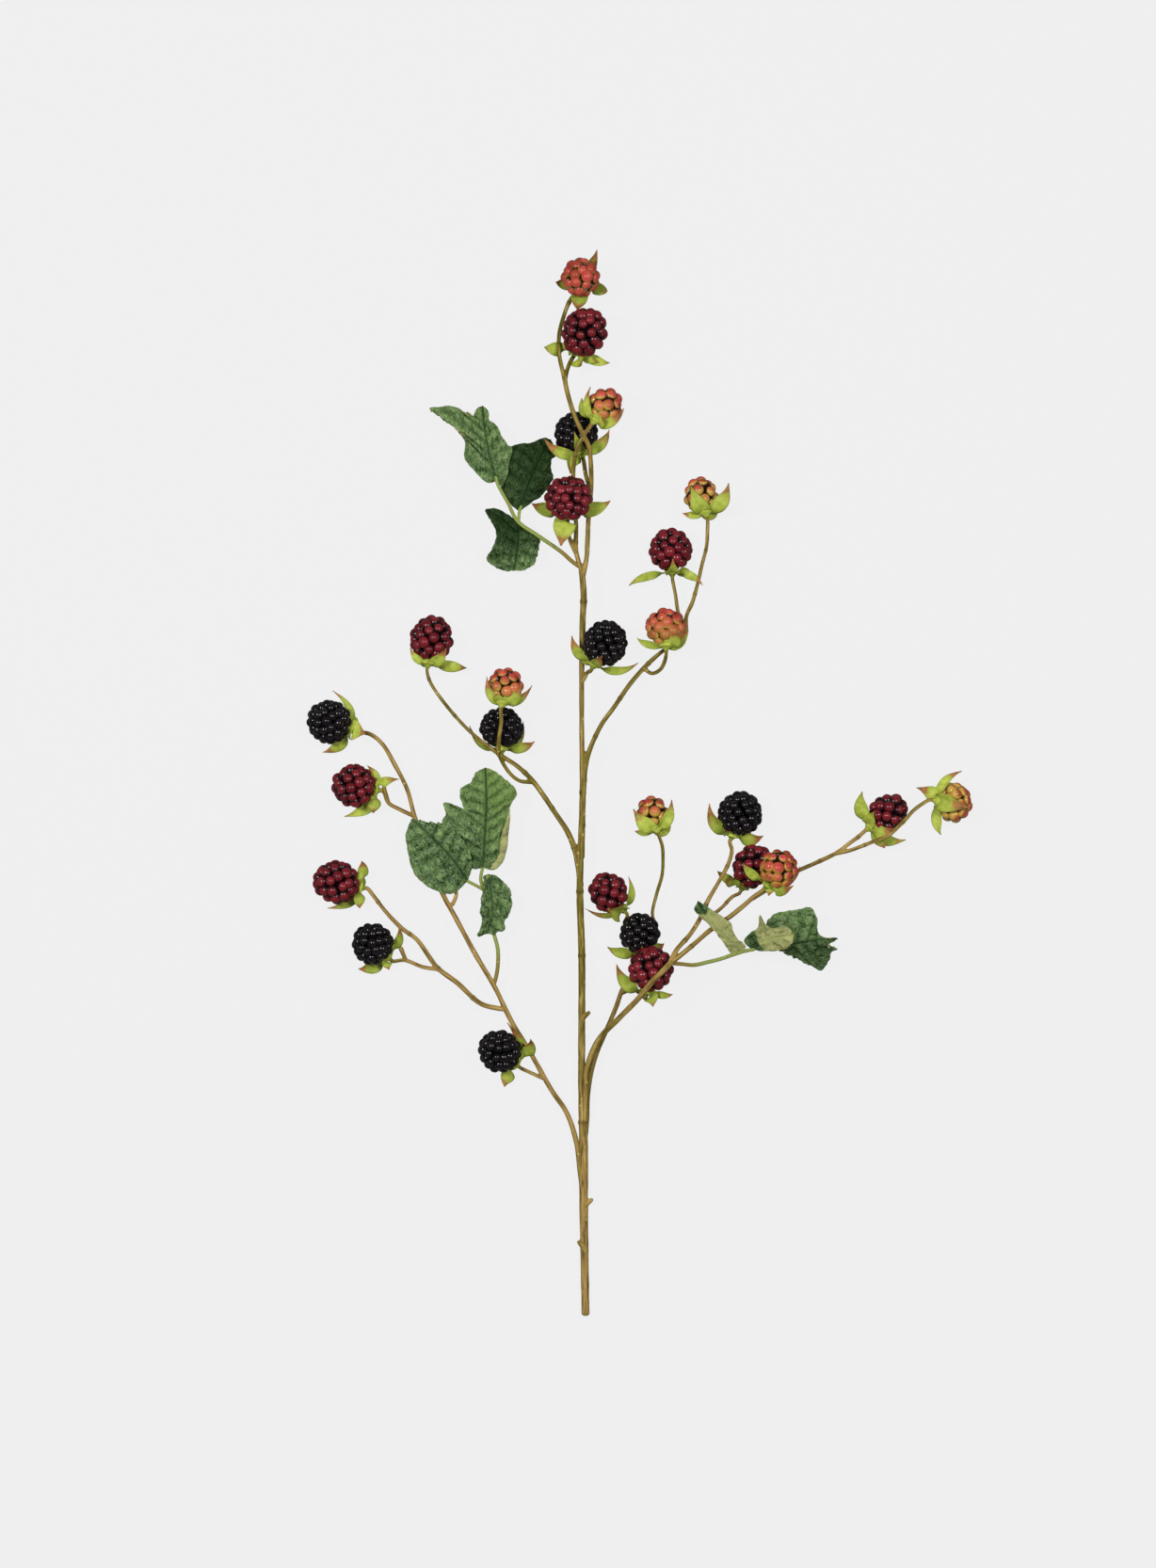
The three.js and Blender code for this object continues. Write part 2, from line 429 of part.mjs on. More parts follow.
// A closed geometry as a manifold solid.
function toSolid(geometry) {
  const bare = geometry.clone();
  bare.deleteAttribute("normal");
  bare.deleteAttribute("uv");
  const merged = mergeVertices(bare, 1e-4);
  return new wasm.Manifold(
    new wasm.Mesh({
      numProp: 3,
      vertProperties: merged.attributes.position.array,
      triVerts: new Uint32Array(merged.index.array),
    }),
  );
}

// A manifold solid as a geometry.
function toGeometry(solid) {
  const mesh = solid.getMesh();
  const geometry = new THREE.BufferGeometry();
  geometry.setAttribute("position", new THREE.BufferAttribute(new Float32Array(mesh.vertProperties), 3));
  geometry.setIndex(new THREE.BufferAttribute(new Uint32Array(mesh.triVerts), 1));
  geometry.computeVertexNormals();
  return geometry;
}

function joined(solids) {
  return solids.reduce((whole, solid) => whole.add(solid));
}

// A named piece with its own material.
function piece(name, solid, finish) {
  const mesh = new THREE.Mesh(toGeometry(solid), new THREE.MeshStandardMaterial({ ...finish, metalness: 0 }));
  mesh.name = name;
  return mesh;
}

// A stem along a route of [x, y, z, radius], `extra` wider all round.
function stem(route, extra = 0) {
  const places = route.map(([x, y, z]) => new THREE.Vector3(x, y, z));
  const curve = new THREE.CatmullRomCurve3(places, false, "centripetal");
  const steps = Math.max(2, Math.ceil(curve.getLength() / STEM_STEP));
  const section = new THREE.Shape(new THREE.EllipseCurve(0, 0, 1, 1).getPoints(STEM_SIDES).slice(0, -1));
  const tube = new THREE.ExtrudeGeometry(section, { steps, extrudePath: curve });
  const centres = curve.getSpacedPoints(steps);
  const radii = centres.map((centre) => radiusNear(centre, route) + extra);
  swell(tube.attributes.position, centres, radii);
  return toSolid(tube);
}

// The radius of a route at the place nearest to a point.
function radiusNear(point, route) {
  let best = { distance: Infinity, radius: 0 };
  for (let i = 0; i + 1 < route.length; i++) {
    const from = new THREE.Vector3(...route[i].slice(0, 3));
    const to = new THREE.Vector3(...route[i + 1].slice(0, 3));
    const share = new THREE.Line3(from, to).closestPointToPointParameter(point, true);
    const distance = from.clone().lerp(to, share).distanceTo(point);
    if (distance < best.distance) {
      best = { distance, radius: THREE.MathUtils.lerp(route[i][3], route[i + 1][3], share) };
    }
  }
  return best.radius;
}

// Moves each vertex of a tube of radius 1 out from the nearest of its centres to the radius there.
function swell(position, centres, radii) {
  const vertex = new THREE.Vector3();
  for (let i = 0; i < position.count; i++) {
    vertex.fromBufferAttribute(position, i);
    const gaps = centres.map((centre) => Math.abs(centre.distanceTo(vertex) - 1));
    const nearest = gaps.indexOf(Math.min(...gaps));
    vertex.sub(centres[nearest]).multiplyScalar(radii[nearest]).add(centres[nearest]);
    position.setXYZ(i, vertex.x, vertex.y, vertex.z);
  }
}

// The direction in which a berry's tip points.
function axisOf(berry) {
  const heading = THREE.MathUtils.degToRad(berry.heading);
  const pitch = THREE.MathUtils.degToRad(berry.pitch);
  return new THREE.Vector3(
    Math.cos(pitch) * Math.cos(heading),
    Math.cos(pitch) * Math.sin(heading),
    Math.sin(pitch),
  );
}

// A point on a berry's axis, `along` millimetres from its middle towards its tip.
function onAxis(berry, along) {
  return new THREE.Vector3(...berry.at).addScaledVector(axisOf(berry), along);
}

// Turns and moves a geometry made round +Z at the origin into a berry's frame.
function place(geometry, berry) {
  const turn = new THREE.Quaternion().setFromUnitVectors(UP, axisOf(berry));
  return geometry.applyQuaternion(turn).translate(...berry.at);
}

// The body of a berry: an ellipsoid that its drupelets fill, made `extra` bigger all round.
function berrySolid(berry, extra = 0) {
  const ball = new THREE.SphereGeometry(1, BERRY_SLICES, BERRY_RINGS);
  ball.rotateX(Math.PI / 2);
  ball.scale(berry.wide / 2 + extra, berry.wide / 2 + extra, berry.long / 2 + extra);
  return toSolid(place(ball, berry));
}

// Heights on the berry's own axis: the calyx plate's face and back, and the neck's end.
function calyxHeights(berry) {
  const face = -berry.long / 2 - GAP;
  return { face, back: face - CALYX_PLATE, end: face - CALYX_PLATE - CALYX_NECK };
}

// The plate and neck of a calyx, turned as one.
function calyxPlate(berry) {
  const { face, back, end } = calyxHeights(berry);
  const radius = berry.wide * CALYX_PLATE_SHARE;
  const profile = [
    [0, end],
    [NECK_MOUTH_RADIUS, end],
    [NECK_WAIST_RADIUS, (back + end) / 2],
    [radius, back],
    [radius, face],
    [0, face],
  ];
  const plate = new THREE.LatheGeometry(profile.map(([r, z]) => new THREE.Vector2(r, z)), CALYX_SIDES);
  return toSolid(place(plate.rotateX(Math.PI / 2), berry));
}

// Pushes a point out of a berry's ellipsoid, made `margin` bigger all round.
function outside(point, berry, margin) {
  const axis = axisOf(berry);
  const offset = point.clone().sub(new THREE.Vector3(...berry.at));
  const along = offset.dot(axis);
  const across = offset.clone().addScaledVector(axis, -along).length();
  const depth = Math.hypot(along / (berry.long / 2 + margin), across / (berry.wide / 2 + margin));
  if (depth < 1) {
    offset.multiplyScalar(1 / depth);
  }
  return offset.add(new THREE.Vector3(...berry.at));
}

// A point on a sepal's edge at one of its stations, moved clear of the berry where it has left the plate.
function clearOf(berry, point, station) {
  return station ? outside(point, berry, SEPAL_EDGE_CLEARANCE) : point;
}

// A sepal's width at a share of its length, as a share of its full width.
function sepalFullness(share) {
  const filling = THREE.MathUtils.smoothstep(share, 0, SEPAL_FULL_FROM);
  const taper = THREE.MathUtils.smoothstep(share, SEPAL_TAPER_FROM, 1);
  return THREE.MathUtils.lerp(SEPAL_ROOT_SHARE, 1, filling) * THREE.MathUtils.lerp(1, SEPAL_TIP_SHARE, taper);
}

// One sepal: a thin blade that leaves the plate sideways and bends round the berry to its tip.
function sepal(berry, [x, y, z, wide]) {
  const axis = axisOf(berry);
  const { back } = calyxHeights(berry);
  const tip = new THREE.Vector3(...berry.at).add(new THREE.Vector3(x, y, z));
  const root = onAxis(berry, back + SEPAL_THICK);
  const reach = tip.clone().sub(root);
  const spoke = reach.clone().addScaledVector(axis, -reach.dot(axis));
  const bend = root.clone().addScaledVector(spoke, SEPAL_BEND);
  const path = new THREE.QuadraticBezierCurve3(root, bend, tip);
  const rings = [];
  for (let i = 0; i <= SEPAL_STATIONS; i++) {
    const share = i / SEPAL_STATIONS;
    const onPath = path.getPoint(share);
    const tangent = path.getTangent(share);
    const inner = i ? outside(onPath, berry, SEPAL_CLEARANCE) : onPath;
    const turn = SEPAL_TURN * THREE.MathUtils.smoothstep(share, 0, SEPAL_TURNED_AT);
    const away = inner.clone().sub(new THREE.Vector3(...berry.at)).normalize().lerp(UP, turn).normalize();
    const side = away.clone().cross(tangent).normalize();
    const up = tangent.clone().cross(side).normalize();
    const half = (wide / 2) * sepalFullness(share);
    rings.push([
      clearOf(berry, inner.clone().addScaledVector(side, half), i),
      inner.clone().addScaledVector(up, SEPAL_THICK),
      clearOf(berry, inner.clone().addScaledVector(side, -half), i),
    ]);
  }
  return joined(rings.slice(1).map((ring, i) => hullOf([...rings[i], ...ring])));
}

// The solid that a skin stretched over some points encloses.
function hullOf(points) {
  return wasm.Manifold.hull(points.map((point) => point.toArray()));
}

// A closed geometry through rings of points, one point count for all, with a flat cap at each end.
function loft(rings) {
  const count = rings[0].length;
  const points = rings.flat();
  const index = [];
  const quad = (a, b, c, d) => index.push(a, b, c, a, c, d);
  for (let ring = 0; ring + 1 < rings.length; ring++) {
    for (let i = 0; i < count; i++) {
      const here = ring * count + i;
      const next = ring * count + ((i + 1) % count);
      quad(here, next, next + count, here + count);
    }
  }
  for (let i = 1; i + 1 < count; i++) {
    const last = (rings.length - 1) * count;
    index.push(0, i + 1, i);
    index.push(last, last + i, last + i + 1);
  }
  const geometry = new THREE.BufferGeometry().setFromPoints(points);
  geometry.setIndex(index);
  return geometry;
}

function calyxSolid(berry) {
  return joined([calyxPlate(berry), ...berry.sepals.map((tip) => sepal(berry, tip))]);
}

// The stalk of a berry: its route, run on to just short of the calyx neck.
function stalk(name, route) {
  const berry = BERRIES.find((one) => one.name === name);
  const { end } = calyxHeights(berry);
  const foot = onAxis(berry, end - GAP);
  const back = onAxis(berry, end - GAP - STALK_RUN_IN);
  const radius = route[route.length - 1][3];
  return [...route, [...back.toArray(), radius], [...foot.toArray(), radius]];
}

// A list of points along an edge of [x, y, z], evenly spaced.
function evenly(edge) {
  const places = edge.map((point) => new THREE.Vector3(...point));
  return new THREE.CatmullRomCurve3(places, false, "centripetal").getSpacedPoints(LEAF_STATIONS);
}

// One leaflet: a thin plate between its two edges, creased along the midrib.
function leaflet({ rib, left, right }) {
  const middle = evenly(rib);
  const leftEdge = evenly([rib[0], ...left, rib[rib.length - 1]]);
  const rightEdge = evenly([rib[0], ...right, rib[rib.length - 1]]);
  const down = new THREE.Vector3(0, 0, -LEAF_THICK);
  const rings = middle.map((onRib, i) => {
    const end = i === 0 || i === LEAF_STATIONS;
    const spread = new THREE.Vector3(end ? LEAFLET_END : 0, 0, 0);
    const top = [leftEdge[i].clone().sub(spread), onRib, rightEdge[i].clone().add(spread)];
    return [...top, ...top.map((point) => point.clone().add(down)).reverse()];
  });
  return toSolid(loft(rings));
}

function leafSolid(leaf) {
  return joined([...leaf.stalks.map((route) => stem(route)), ...leaf.leaflets.map(leaflet)]);
}

// The cane with the two shoots that grew from its middle.
function caneSolid(extra = 0) {
  return joined([
    stem(CANE, extra),
    stem(CANE_BUD_1, extra),
    stem(CANE_BUD_2, extra),
    stem(CANE_BUD_3, extra),
    stem(stalk("main_1", MAIN_1_STALK), extra),
    stem(stalk("left_mid_1", LEFT_MID_SHOOT), extra),
    stem(LEFT_MID_TWIN, extra),
    stem(stalk("left_mid_2", LEFT_MID_2_STALK), extra),
    stem(stalk("left_mid_3", LEFT_MID_3_STALK), extra),
    stem(stalk("right_mid_1", RIGHT_MID_SHOOT), extra),
    stem(stalk("right_mid_2", RIGHT_MID_2_STALK), extra),
    stem(stalk("right_mid_3", RIGHT_MID_3_STALK), extra),
  ]);
}

// The two strands that carry on from the cane's end, with the stalks on them.
function topSolid(extra = 0) {
  return joined([
    stem(TOP_SHOOT, extra),
    stem(stalk("top_1", TOP_1_STALK), extra),
    stem(stalk("top_2", TOP_2_STALK), extra),
    stem(stalk("top_3", TOP_3_STALK), extra),
    stem(stalk("top_4", TOP_4_STALK), extra),
    stem(stalk("top_5", TOP_5_STALK), extra),
  ]);
}

function leftLowSolid(extra = 0) {
  return joined([
    stem(stalk("left_low_1", [...LEFT_LOW_SHOOT, ...LEFT_LOW_1_STALK]), extra),
    stem(LEFT_LOW_TWIN, extra),
    stem(stalk("left_low_2", LEFT_LOW_2_STALK), extra),
    stem(LEFT_LOW_2_STUB, extra),
    stem(stalk("left_low_3", LEFT_LOW_TWIG), extra),
    stem(stalk("left_low_4", LEFT_LOW_4_STALK), extra),
    stem(LEFT_LOW_4_STUB, extra),
    stem(stalk("left_low_5", LEFT_LOW_5_STALK), extra),
  ]);
}

function rightFrontSolid(extra = 0) {
  return joined([
    stem(RIGHT_FRONT_SHOOT, extra),
    stem(stalk("right_front_1", RIGHT_FRONT_1_STALK), extra),
    stem(stalk("right_front_2", RIGHT_FRONT_2_STALK), extra),
    stem(stalk("right_front_3", RIGHT_FRONT_3_STALK), extra),
    stem(stalk("right_front_4", RIGHT_FRONT_TWIG), extra),
    stem(stalk("right_front_5", RIGHT_FRONT_5_STALK), extra),
  ]);
}

function rightBackSolid(extra = 0) {
  return joined([
    stem(stalk("right_back_1", RIGHT_BACK_SHOOT), extra),
    stem(stalk("right_back_2", RIGHT_BACK_2_STALK), extra),
    stem(stalk("right_back_3", RIGHT_BACK_3_STALK), extra),
    stem(stalk("right_back_4", RIGHT_BACK_4_STALK), extra),
  ]);
}

// A shoot that lies along the cane where it leaves it, trimmed to stand a gap clear of its side and its end.
function lapped(shoot) {
  const [x, y, z, radius] = CANE[CANE.length - 1];
  return largest(shoot.subtract(stem([...CANE, [x, y + GAP, z, radius]], GAP)));
}

// The largest of a solid's separate bodies, without the slivers that a trim leaves on it.
function largest(solid) {
  const bodies = solid.simplify(SLIVER).decompose();
  return bodies.reduce((whole, body) => (body.volume() > whole.volume() ? body : whole));
}

const stemsAndGap = joined(
  [caneSolid, topSolid, leftLowSolid, rightFrontSolid, rightBackSolid].map((make) => make(TRIM_GAP)),
);
const berriesAndGap = joined(BERRIES.map((berry) => berrySolid(berry, TRIM_GAP)));

const sprig = new THREE.Group();
sprig.add(piece("main_cane", caneSolid(), STEM_BARK));
sprig.add(piece("top_shoot", lapped(topSolid()), STEM_BARK));
sprig.add(piece("left_low_shoot", lapped(leftLowSolid()), STEM_BARK));
sprig.add(piece("right_front_shoot", lapped(rightFrontSolid()), STEM_BARK));
sprig.add(piece("right_back_shoot", lapped(rightBackSolid()), STEM_BARK));
for (const leaf of LEAVES) {
  sprig.add(piece(leaf.name, largest(leafSolid(leaf).subtract(stemsAndGap)), LEAF_GREEN));
}
for (const berry of BERRIES) {
  sprig.add(piece(`berry_${berry.name}`, berrySolid(berry), berry.ripe));
  const calyx = calyxSolid(berry).subtract(stemsAndGap).subtract(berriesAndGap);
  sprig.add(piece(`calyx_${berry.name}`, largest(calyx), SEPAL_GREEN));
}

const box = new THREE.Box3().setFromObject(sprig);
const middle = box.getCenter(new THREE.Vector3());
sprig.position.set(-middle.x, -middle.y, -box.min.z);

export default sprig;
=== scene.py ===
"""A bramble sprig, cut and laid on a pale table.

A cane ends in a top shoot and carries five side shoots. Twenty-six berries at four stages of ripeness
sit in their calyces on thin stalks, and three compound leaves spread from the shoots. Every piece
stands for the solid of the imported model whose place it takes. Lengths in the tables are millimetres,
measured from the middle of the cane's cut end: x to the right, y along the cane to its tip and z up.
"""

import logging
import math
from collections.abc import Sequence
from dataclasses import dataclass, field
from enum import Enum
from functools import partial

import bpy
import numpy as np
from mathutils import Matrix, Vector
from mathutils.kdtree import KDTree


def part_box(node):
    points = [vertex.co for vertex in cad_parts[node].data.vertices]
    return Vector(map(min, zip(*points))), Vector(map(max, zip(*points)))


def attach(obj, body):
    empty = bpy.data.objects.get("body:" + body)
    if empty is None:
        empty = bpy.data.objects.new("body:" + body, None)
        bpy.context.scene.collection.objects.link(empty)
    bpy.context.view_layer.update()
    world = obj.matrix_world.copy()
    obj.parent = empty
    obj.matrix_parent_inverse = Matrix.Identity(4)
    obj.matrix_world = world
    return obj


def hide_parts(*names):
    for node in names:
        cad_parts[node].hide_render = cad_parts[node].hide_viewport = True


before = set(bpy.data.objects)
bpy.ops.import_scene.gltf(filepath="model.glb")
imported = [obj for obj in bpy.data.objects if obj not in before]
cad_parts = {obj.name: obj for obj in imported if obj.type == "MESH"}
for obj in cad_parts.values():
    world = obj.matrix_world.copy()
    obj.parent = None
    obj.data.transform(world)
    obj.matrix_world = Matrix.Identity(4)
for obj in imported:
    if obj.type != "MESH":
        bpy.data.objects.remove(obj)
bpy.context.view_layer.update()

log = logging.getLogger("bramble")

MM = 0.001
GOLDEN_ANGLE = math.pi * (3 - math.sqrt(5))
# Height of a triangle with equal sides of length 1.
TRIANGLE = 0.866
Place = tuple[float, float, float]
Course = tuple[float, float, float, float]
Array = np.ndarray
Blade = tuple[Array, Array, dict[str, Array]]
Feed = bpy.types.Node | bpy.types.NodeSocket | float | str
# Side veins leave the midrib aslant, so they lie closer together than they are along it.
VEIN_SLANT = 0.78


class Ripeness(Enum):
    """How far a berry has ripened, by the record's slot for its drupelets."""

    BLACK = "drupelets_black"
    BURGUNDY = "drupelets_burgundy"
    RED = "drupelets_red"
    ORANGE = "drupelets_orange"


@dataclass(frozen=True)
class BerrySpec:
    """One berry of the sprig.

    Args:
        name: The berry's name in the model, without its prefix.
        wide: Size across, in millimetres.
        long: Size along its own axis, in millimetres.
        heading: Where its tip points, in degrees round from +x.
        pitch: How far its tip points up, in degrees.
        ripe: Its ripeness.
        sepals: Each sepal's tip from the berry's middle, and its width.
        redness: How much redder it is than its ripeness tells.
        dryness: How dark and browned its calyx is, from 0 to 1.
    """

    name: str
    wide: float
    long: float
    heading: float
    pitch: float
    ripe: Ripeness
    sepals: tuple[Course, ...]
    redness: float = 0.0
    dryness: float = 0.0


@dataclass(frozen=True)
class Strand:
    """One strand of a stem.

    Args:
        tones: How green it is, from 0 to 1, at even steps from its root to its end.
        berry: The berry whose calyx it runs into, or nothing.
        route: Its course from root to end, with the radius there.
    """

    tones: tuple[float, ...]
    berry: str
    route: tuple[Course, ...]


@dataclass(frozen=True)
class StemSpec:
    """A stem: the model node it stands for, the heights y of its first strand's scars, and its strands."""

    node: str
    rings: tuple[float, ...]
    strands: tuple[Strand, ...]


@dataclass(frozen=True)
class LeafletSpec:
    """One leaflet: its midrib and its two edges, each from base to tip.

    Args:
        rib: The midrib.
        left: The left edge, looking from base to tip, without the midrib's ends.
        right: The right edge.
        tone: How light the green is, from -1 to 1: at the base, at the tip, and what the left and the
        right half add to that. A darker half can stand for painted shade beside a leaflet that lies over it.
        sweep: How far the side veins run forward: 1 is straight out from the midrib.
        flap: A band that folds back over the top: its edge (1 right, -1 left), the shares of the
            length where it starts and ends, and its width in millimetres.
        pale: True where the leaflet lies with its underside up.
        turned: The share of the length past which the blade shows its other side.
        teeth: How far the saw teeth of the left and the right margin stand out, in millimetres.
        crumple: Height of the blade's larger waves, in millimetres.
        pucker: Height of its small puckers, in millimetres.
    """

    rib: tuple[Place, ...]
    left: tuple[Place, ...]
    right: tuple[Place, ...]
    tone: tuple[float, float, float, float] = (0.0, 0.0, 0.0, 0.0)
    sweep: float = 1.3
    flap: tuple[float, float, float, float] | None = None
    pale: bool = False
    turned: float = 2.0
    teeth: tuple[float, float] = (0.3, 0.3)
    crumple: float = 0.9
    pucker: float = 0.33


@dataclass(frozen=True)
class LeafSpec:
    """One compound leaf: its node, its petioles as routes with a radius, and its leaflets."""

    name: str
    petioles: tuple[tuple[Course, ...], ...]
    leaflets: tuple[LeafletSpec, ...]


# The middle of berry top_1, which ties the tables to the model.
TOP_BERRY_MIDDLE = (-1.5, 549.5, 25)

BERRIES = (
    BerrySpec("top_1", 20.5, 20.5, 100, 75, Ripeness.RED, (
        (8.5, 14.5, -4, 5.5), (-13.5, -2, -5, 6.5), (15, -7, -5, 6.5),
        (-2, -17, -7, 8.5)), redness=-0.1, dryness=0.7),
    BerrySpec("top_2", 24, 28, 65, 45, Ripeness.BURGUNDY, (
        (-21.5, -8, -3, 7.5), (-1, -17.5, -1, 10), (6.5, -15.5, -4, 4.5), (13.5, -16, -5, 5.5))),
    BerrySpec("top_3", 18.5, 18.5, 54, -10, Ripeness.ORANGE, (
        (-12.5, 3.5, 3, 6.5), (-8, 9.5, 6, 4), (-0.5, -8, 8, 8), (9.5, -2, 3, 7)), redness=0.3),
    BerrySpec("top_4", 23.5, 22, 105, -12, Ripeness.BLACK, (
        (-17, -3, 4, 6), (-3, -22, 4, 7), (17.5, 1.5, 3, 6), (-1, 0, 14, 5)), dryness=0.45),
    BerrySpec("top_5", 25.5, 21, 88, 50, Ripeness.BURGUNDY, (
        (-19.5, -2.5, -5, 7.5), (22, -1.5, -5, 7.5), (-4, -25, -6, 11.5)), dryness=0.15),
    BerrySpec("right_mid_1", 18.5, 19.5, 105, -20, Ripeness.ORANGE, (
        (-5.5, 4.5, 9, 9), (14.5, 6, 4, 8), (-9.5, -9.5, 3, 4), (3, 4, -8, 8)), redness=-0.1),
    BerrySpec("right_mid_2", 23.5, 22.5, 94, 12, Ripeness.BURGUNDY, (
        (-22, -19, -2, 4.5), (17, -19, 2.5, 4.5), (1, -5, 10, 7), (11.5, -13, -6, 5))),
    BerrySpec("right_mid_3", 22, 19.5, 90, -15, Ripeness.ORANGE, (
        (-15.5, -6, 2, 4), (6.5, -2, 9, 8), (11, -2, 2, 5.5)), redness=0.6, dryness=0.25),
    BerrySpec("main_1", 23.5, 24.5, 62, 10, Ripeness.BLACK, (
        (-17.5, 4, 2, 5.5), (-1.5, -6.5, 11, 6.5), (17.5, -10.5, -2, 4.5), (-12, -4, -5, 5)), dryness=0.5),
    BerrySpec("left_mid_1", 23, 25, 82, -8, Ripeness.BURGUNDY, (
        (-11, -5, 3, 4), (8, -5, 9, 6), (18.5, -15.5, -1, 6), (-4.5, -5, -9, 6))),
    BerrySpec("left_mid_2", 19.5, 19, 80, -20, Ripeness.ORANGE, (
        (-9.5, 4.5, 4, 4.5), (9, -1, 7, 7.5), (14, 0, 2, 4.5), (-4, -4, 8, 5)), redness=0.5, dryness=0.3),
    BerrySpec("left_mid_3", 23.5, 21.5, 90, 8, Ripeness.BLACK, (
        (-17, 0.5, 2, 4), (17.5, -7.5, 1, 5.5), (11.5, 3, -5, 5)), dryness=0.7),
    BerrySpec("left_low_1", 23.5, 23.5, 160, 15, Ripeness.BLACK, (
        (2, 16.5, -2, 4), (19.5, -6.5, 1, 10.5), (-3.5, -16, -6, 6.5), (11, 4, -6, 6))),
    BerrySpec("left_low_2", 23, 23, 170, 10, Ripeness.BURGUNDY, (
        (24.5, 3.5, 3, 5.5), (-5, -16, -7, 7), (10.5, -14.5, -1, 7.5), (7, 10.5, -3, 5))),
    BerrySpec("left_low_3", 23, 25, 168, 12, Ripeness.BURGUNDY, (
        (13, 11.5, 2, 6), (12.5, -14, -1, 6), (-5, -14, -7, 5.5), (9, 3, -9, 6)), dryness=0.3),
    BerrySpec("left_low_4", 22.5, 22, 138, 25, Ripeness.BLACK, (
        (-7.5, -13.5, -6, 7.5), (9, -14, -2, 6), (14, 9, 2, 5)), dryness=0.4),
    BerrySpec("left_low_5", 22.5, 23.5, 140, 30, Ripeness.BLACK, (
        (3.5, 15.5, 4, 5), (16, 7, 6, 7.5), (2.5, -19, -6, 7.5)), dryness=0.3),
    BerrySpec("right_back_1", 17.5, 18.5, 105, -30, Ripeness.ORANGE, (
        (-10, 2, 5, 8), (10, 7, 4, 6), (-9.5, -9.5, 3, 4.5), (3.5, 3.5, -8, 7)), redness=0.2),
    BerrySpec("right_back_2", 20.5, 22, 131, 8, Ripeness.BURGUNDY, (
        (-12.5, -8.5, -2, 3), (-0.5, -8, 9.5, 9), (10.5, 8.5, 1, 4)), dryness=0.6),
    BerrySpec("right_back_3", 21.5, 21, 100, 20, Ripeness.BLACK, (
        (-17, -7.5, -2, 6), (1, -6, 8, 4.5), (13, -6, -4, 6)), dryness=0.5),
    BerrySpec("right_back_4", 23.5, 24, 80, 15, Ripeness.BURGUNDY, (
        (-18, 2.5, 1, 7.5), (1, -20, 3, 8), (11.5, -13.5, 2, 4)), dryness=0.4),
    BerrySpec("right_front_1", 23.5, 23.5, 70, 10, Ripeness.BLACK, (
        (-16.5, 5, 1, 6.5), (12, -12, 2, 7), (-8, -8.5, 6, 4.5)), dryness=0.5),
    BerrySpec("right_front_2", 21, 24, 65, 20, Ripeness.BURGUNDY, (
        (-14, -6, 4, 6), (-5, -8.5, 8, 6), (-18.5, -2.5, -3, 5)), dryness=0.6),
    BerrySpec("right_front_3", 20.5, 20.5, 55, 20, Ripeness.RED, (
        (-19, 2.5, 1, 5), (7.5, -9, 6, 6.5), (-5.5, -14.5, -3, 6),
        (10.5, 1.5, -2, 5)), redness=-0.2, dryness=0.4),
    BerrySpec("right_front_4", 20, 23, 38, -8, Ripeness.BURGUNDY, (
        (-13.5, 11.5, 8, 7.5), (-7, 1, 10, 7), (-1.5, -18.5, 3, 6), (9.5, -14, -1, 7),
        (3.5, -8, 9, 7)), dryness=0.2),
    BerrySpec("right_front_5", 21.5, 18, -7, -15, Ripeness.ORANGE, (
        (3.5, 16.5, 2, 4.5), (-20.5, 8, 4, 8), (7.5, -2.5, 11, 9), (-7.5, -17, 3, 5.5)), redness=-0.25),
)

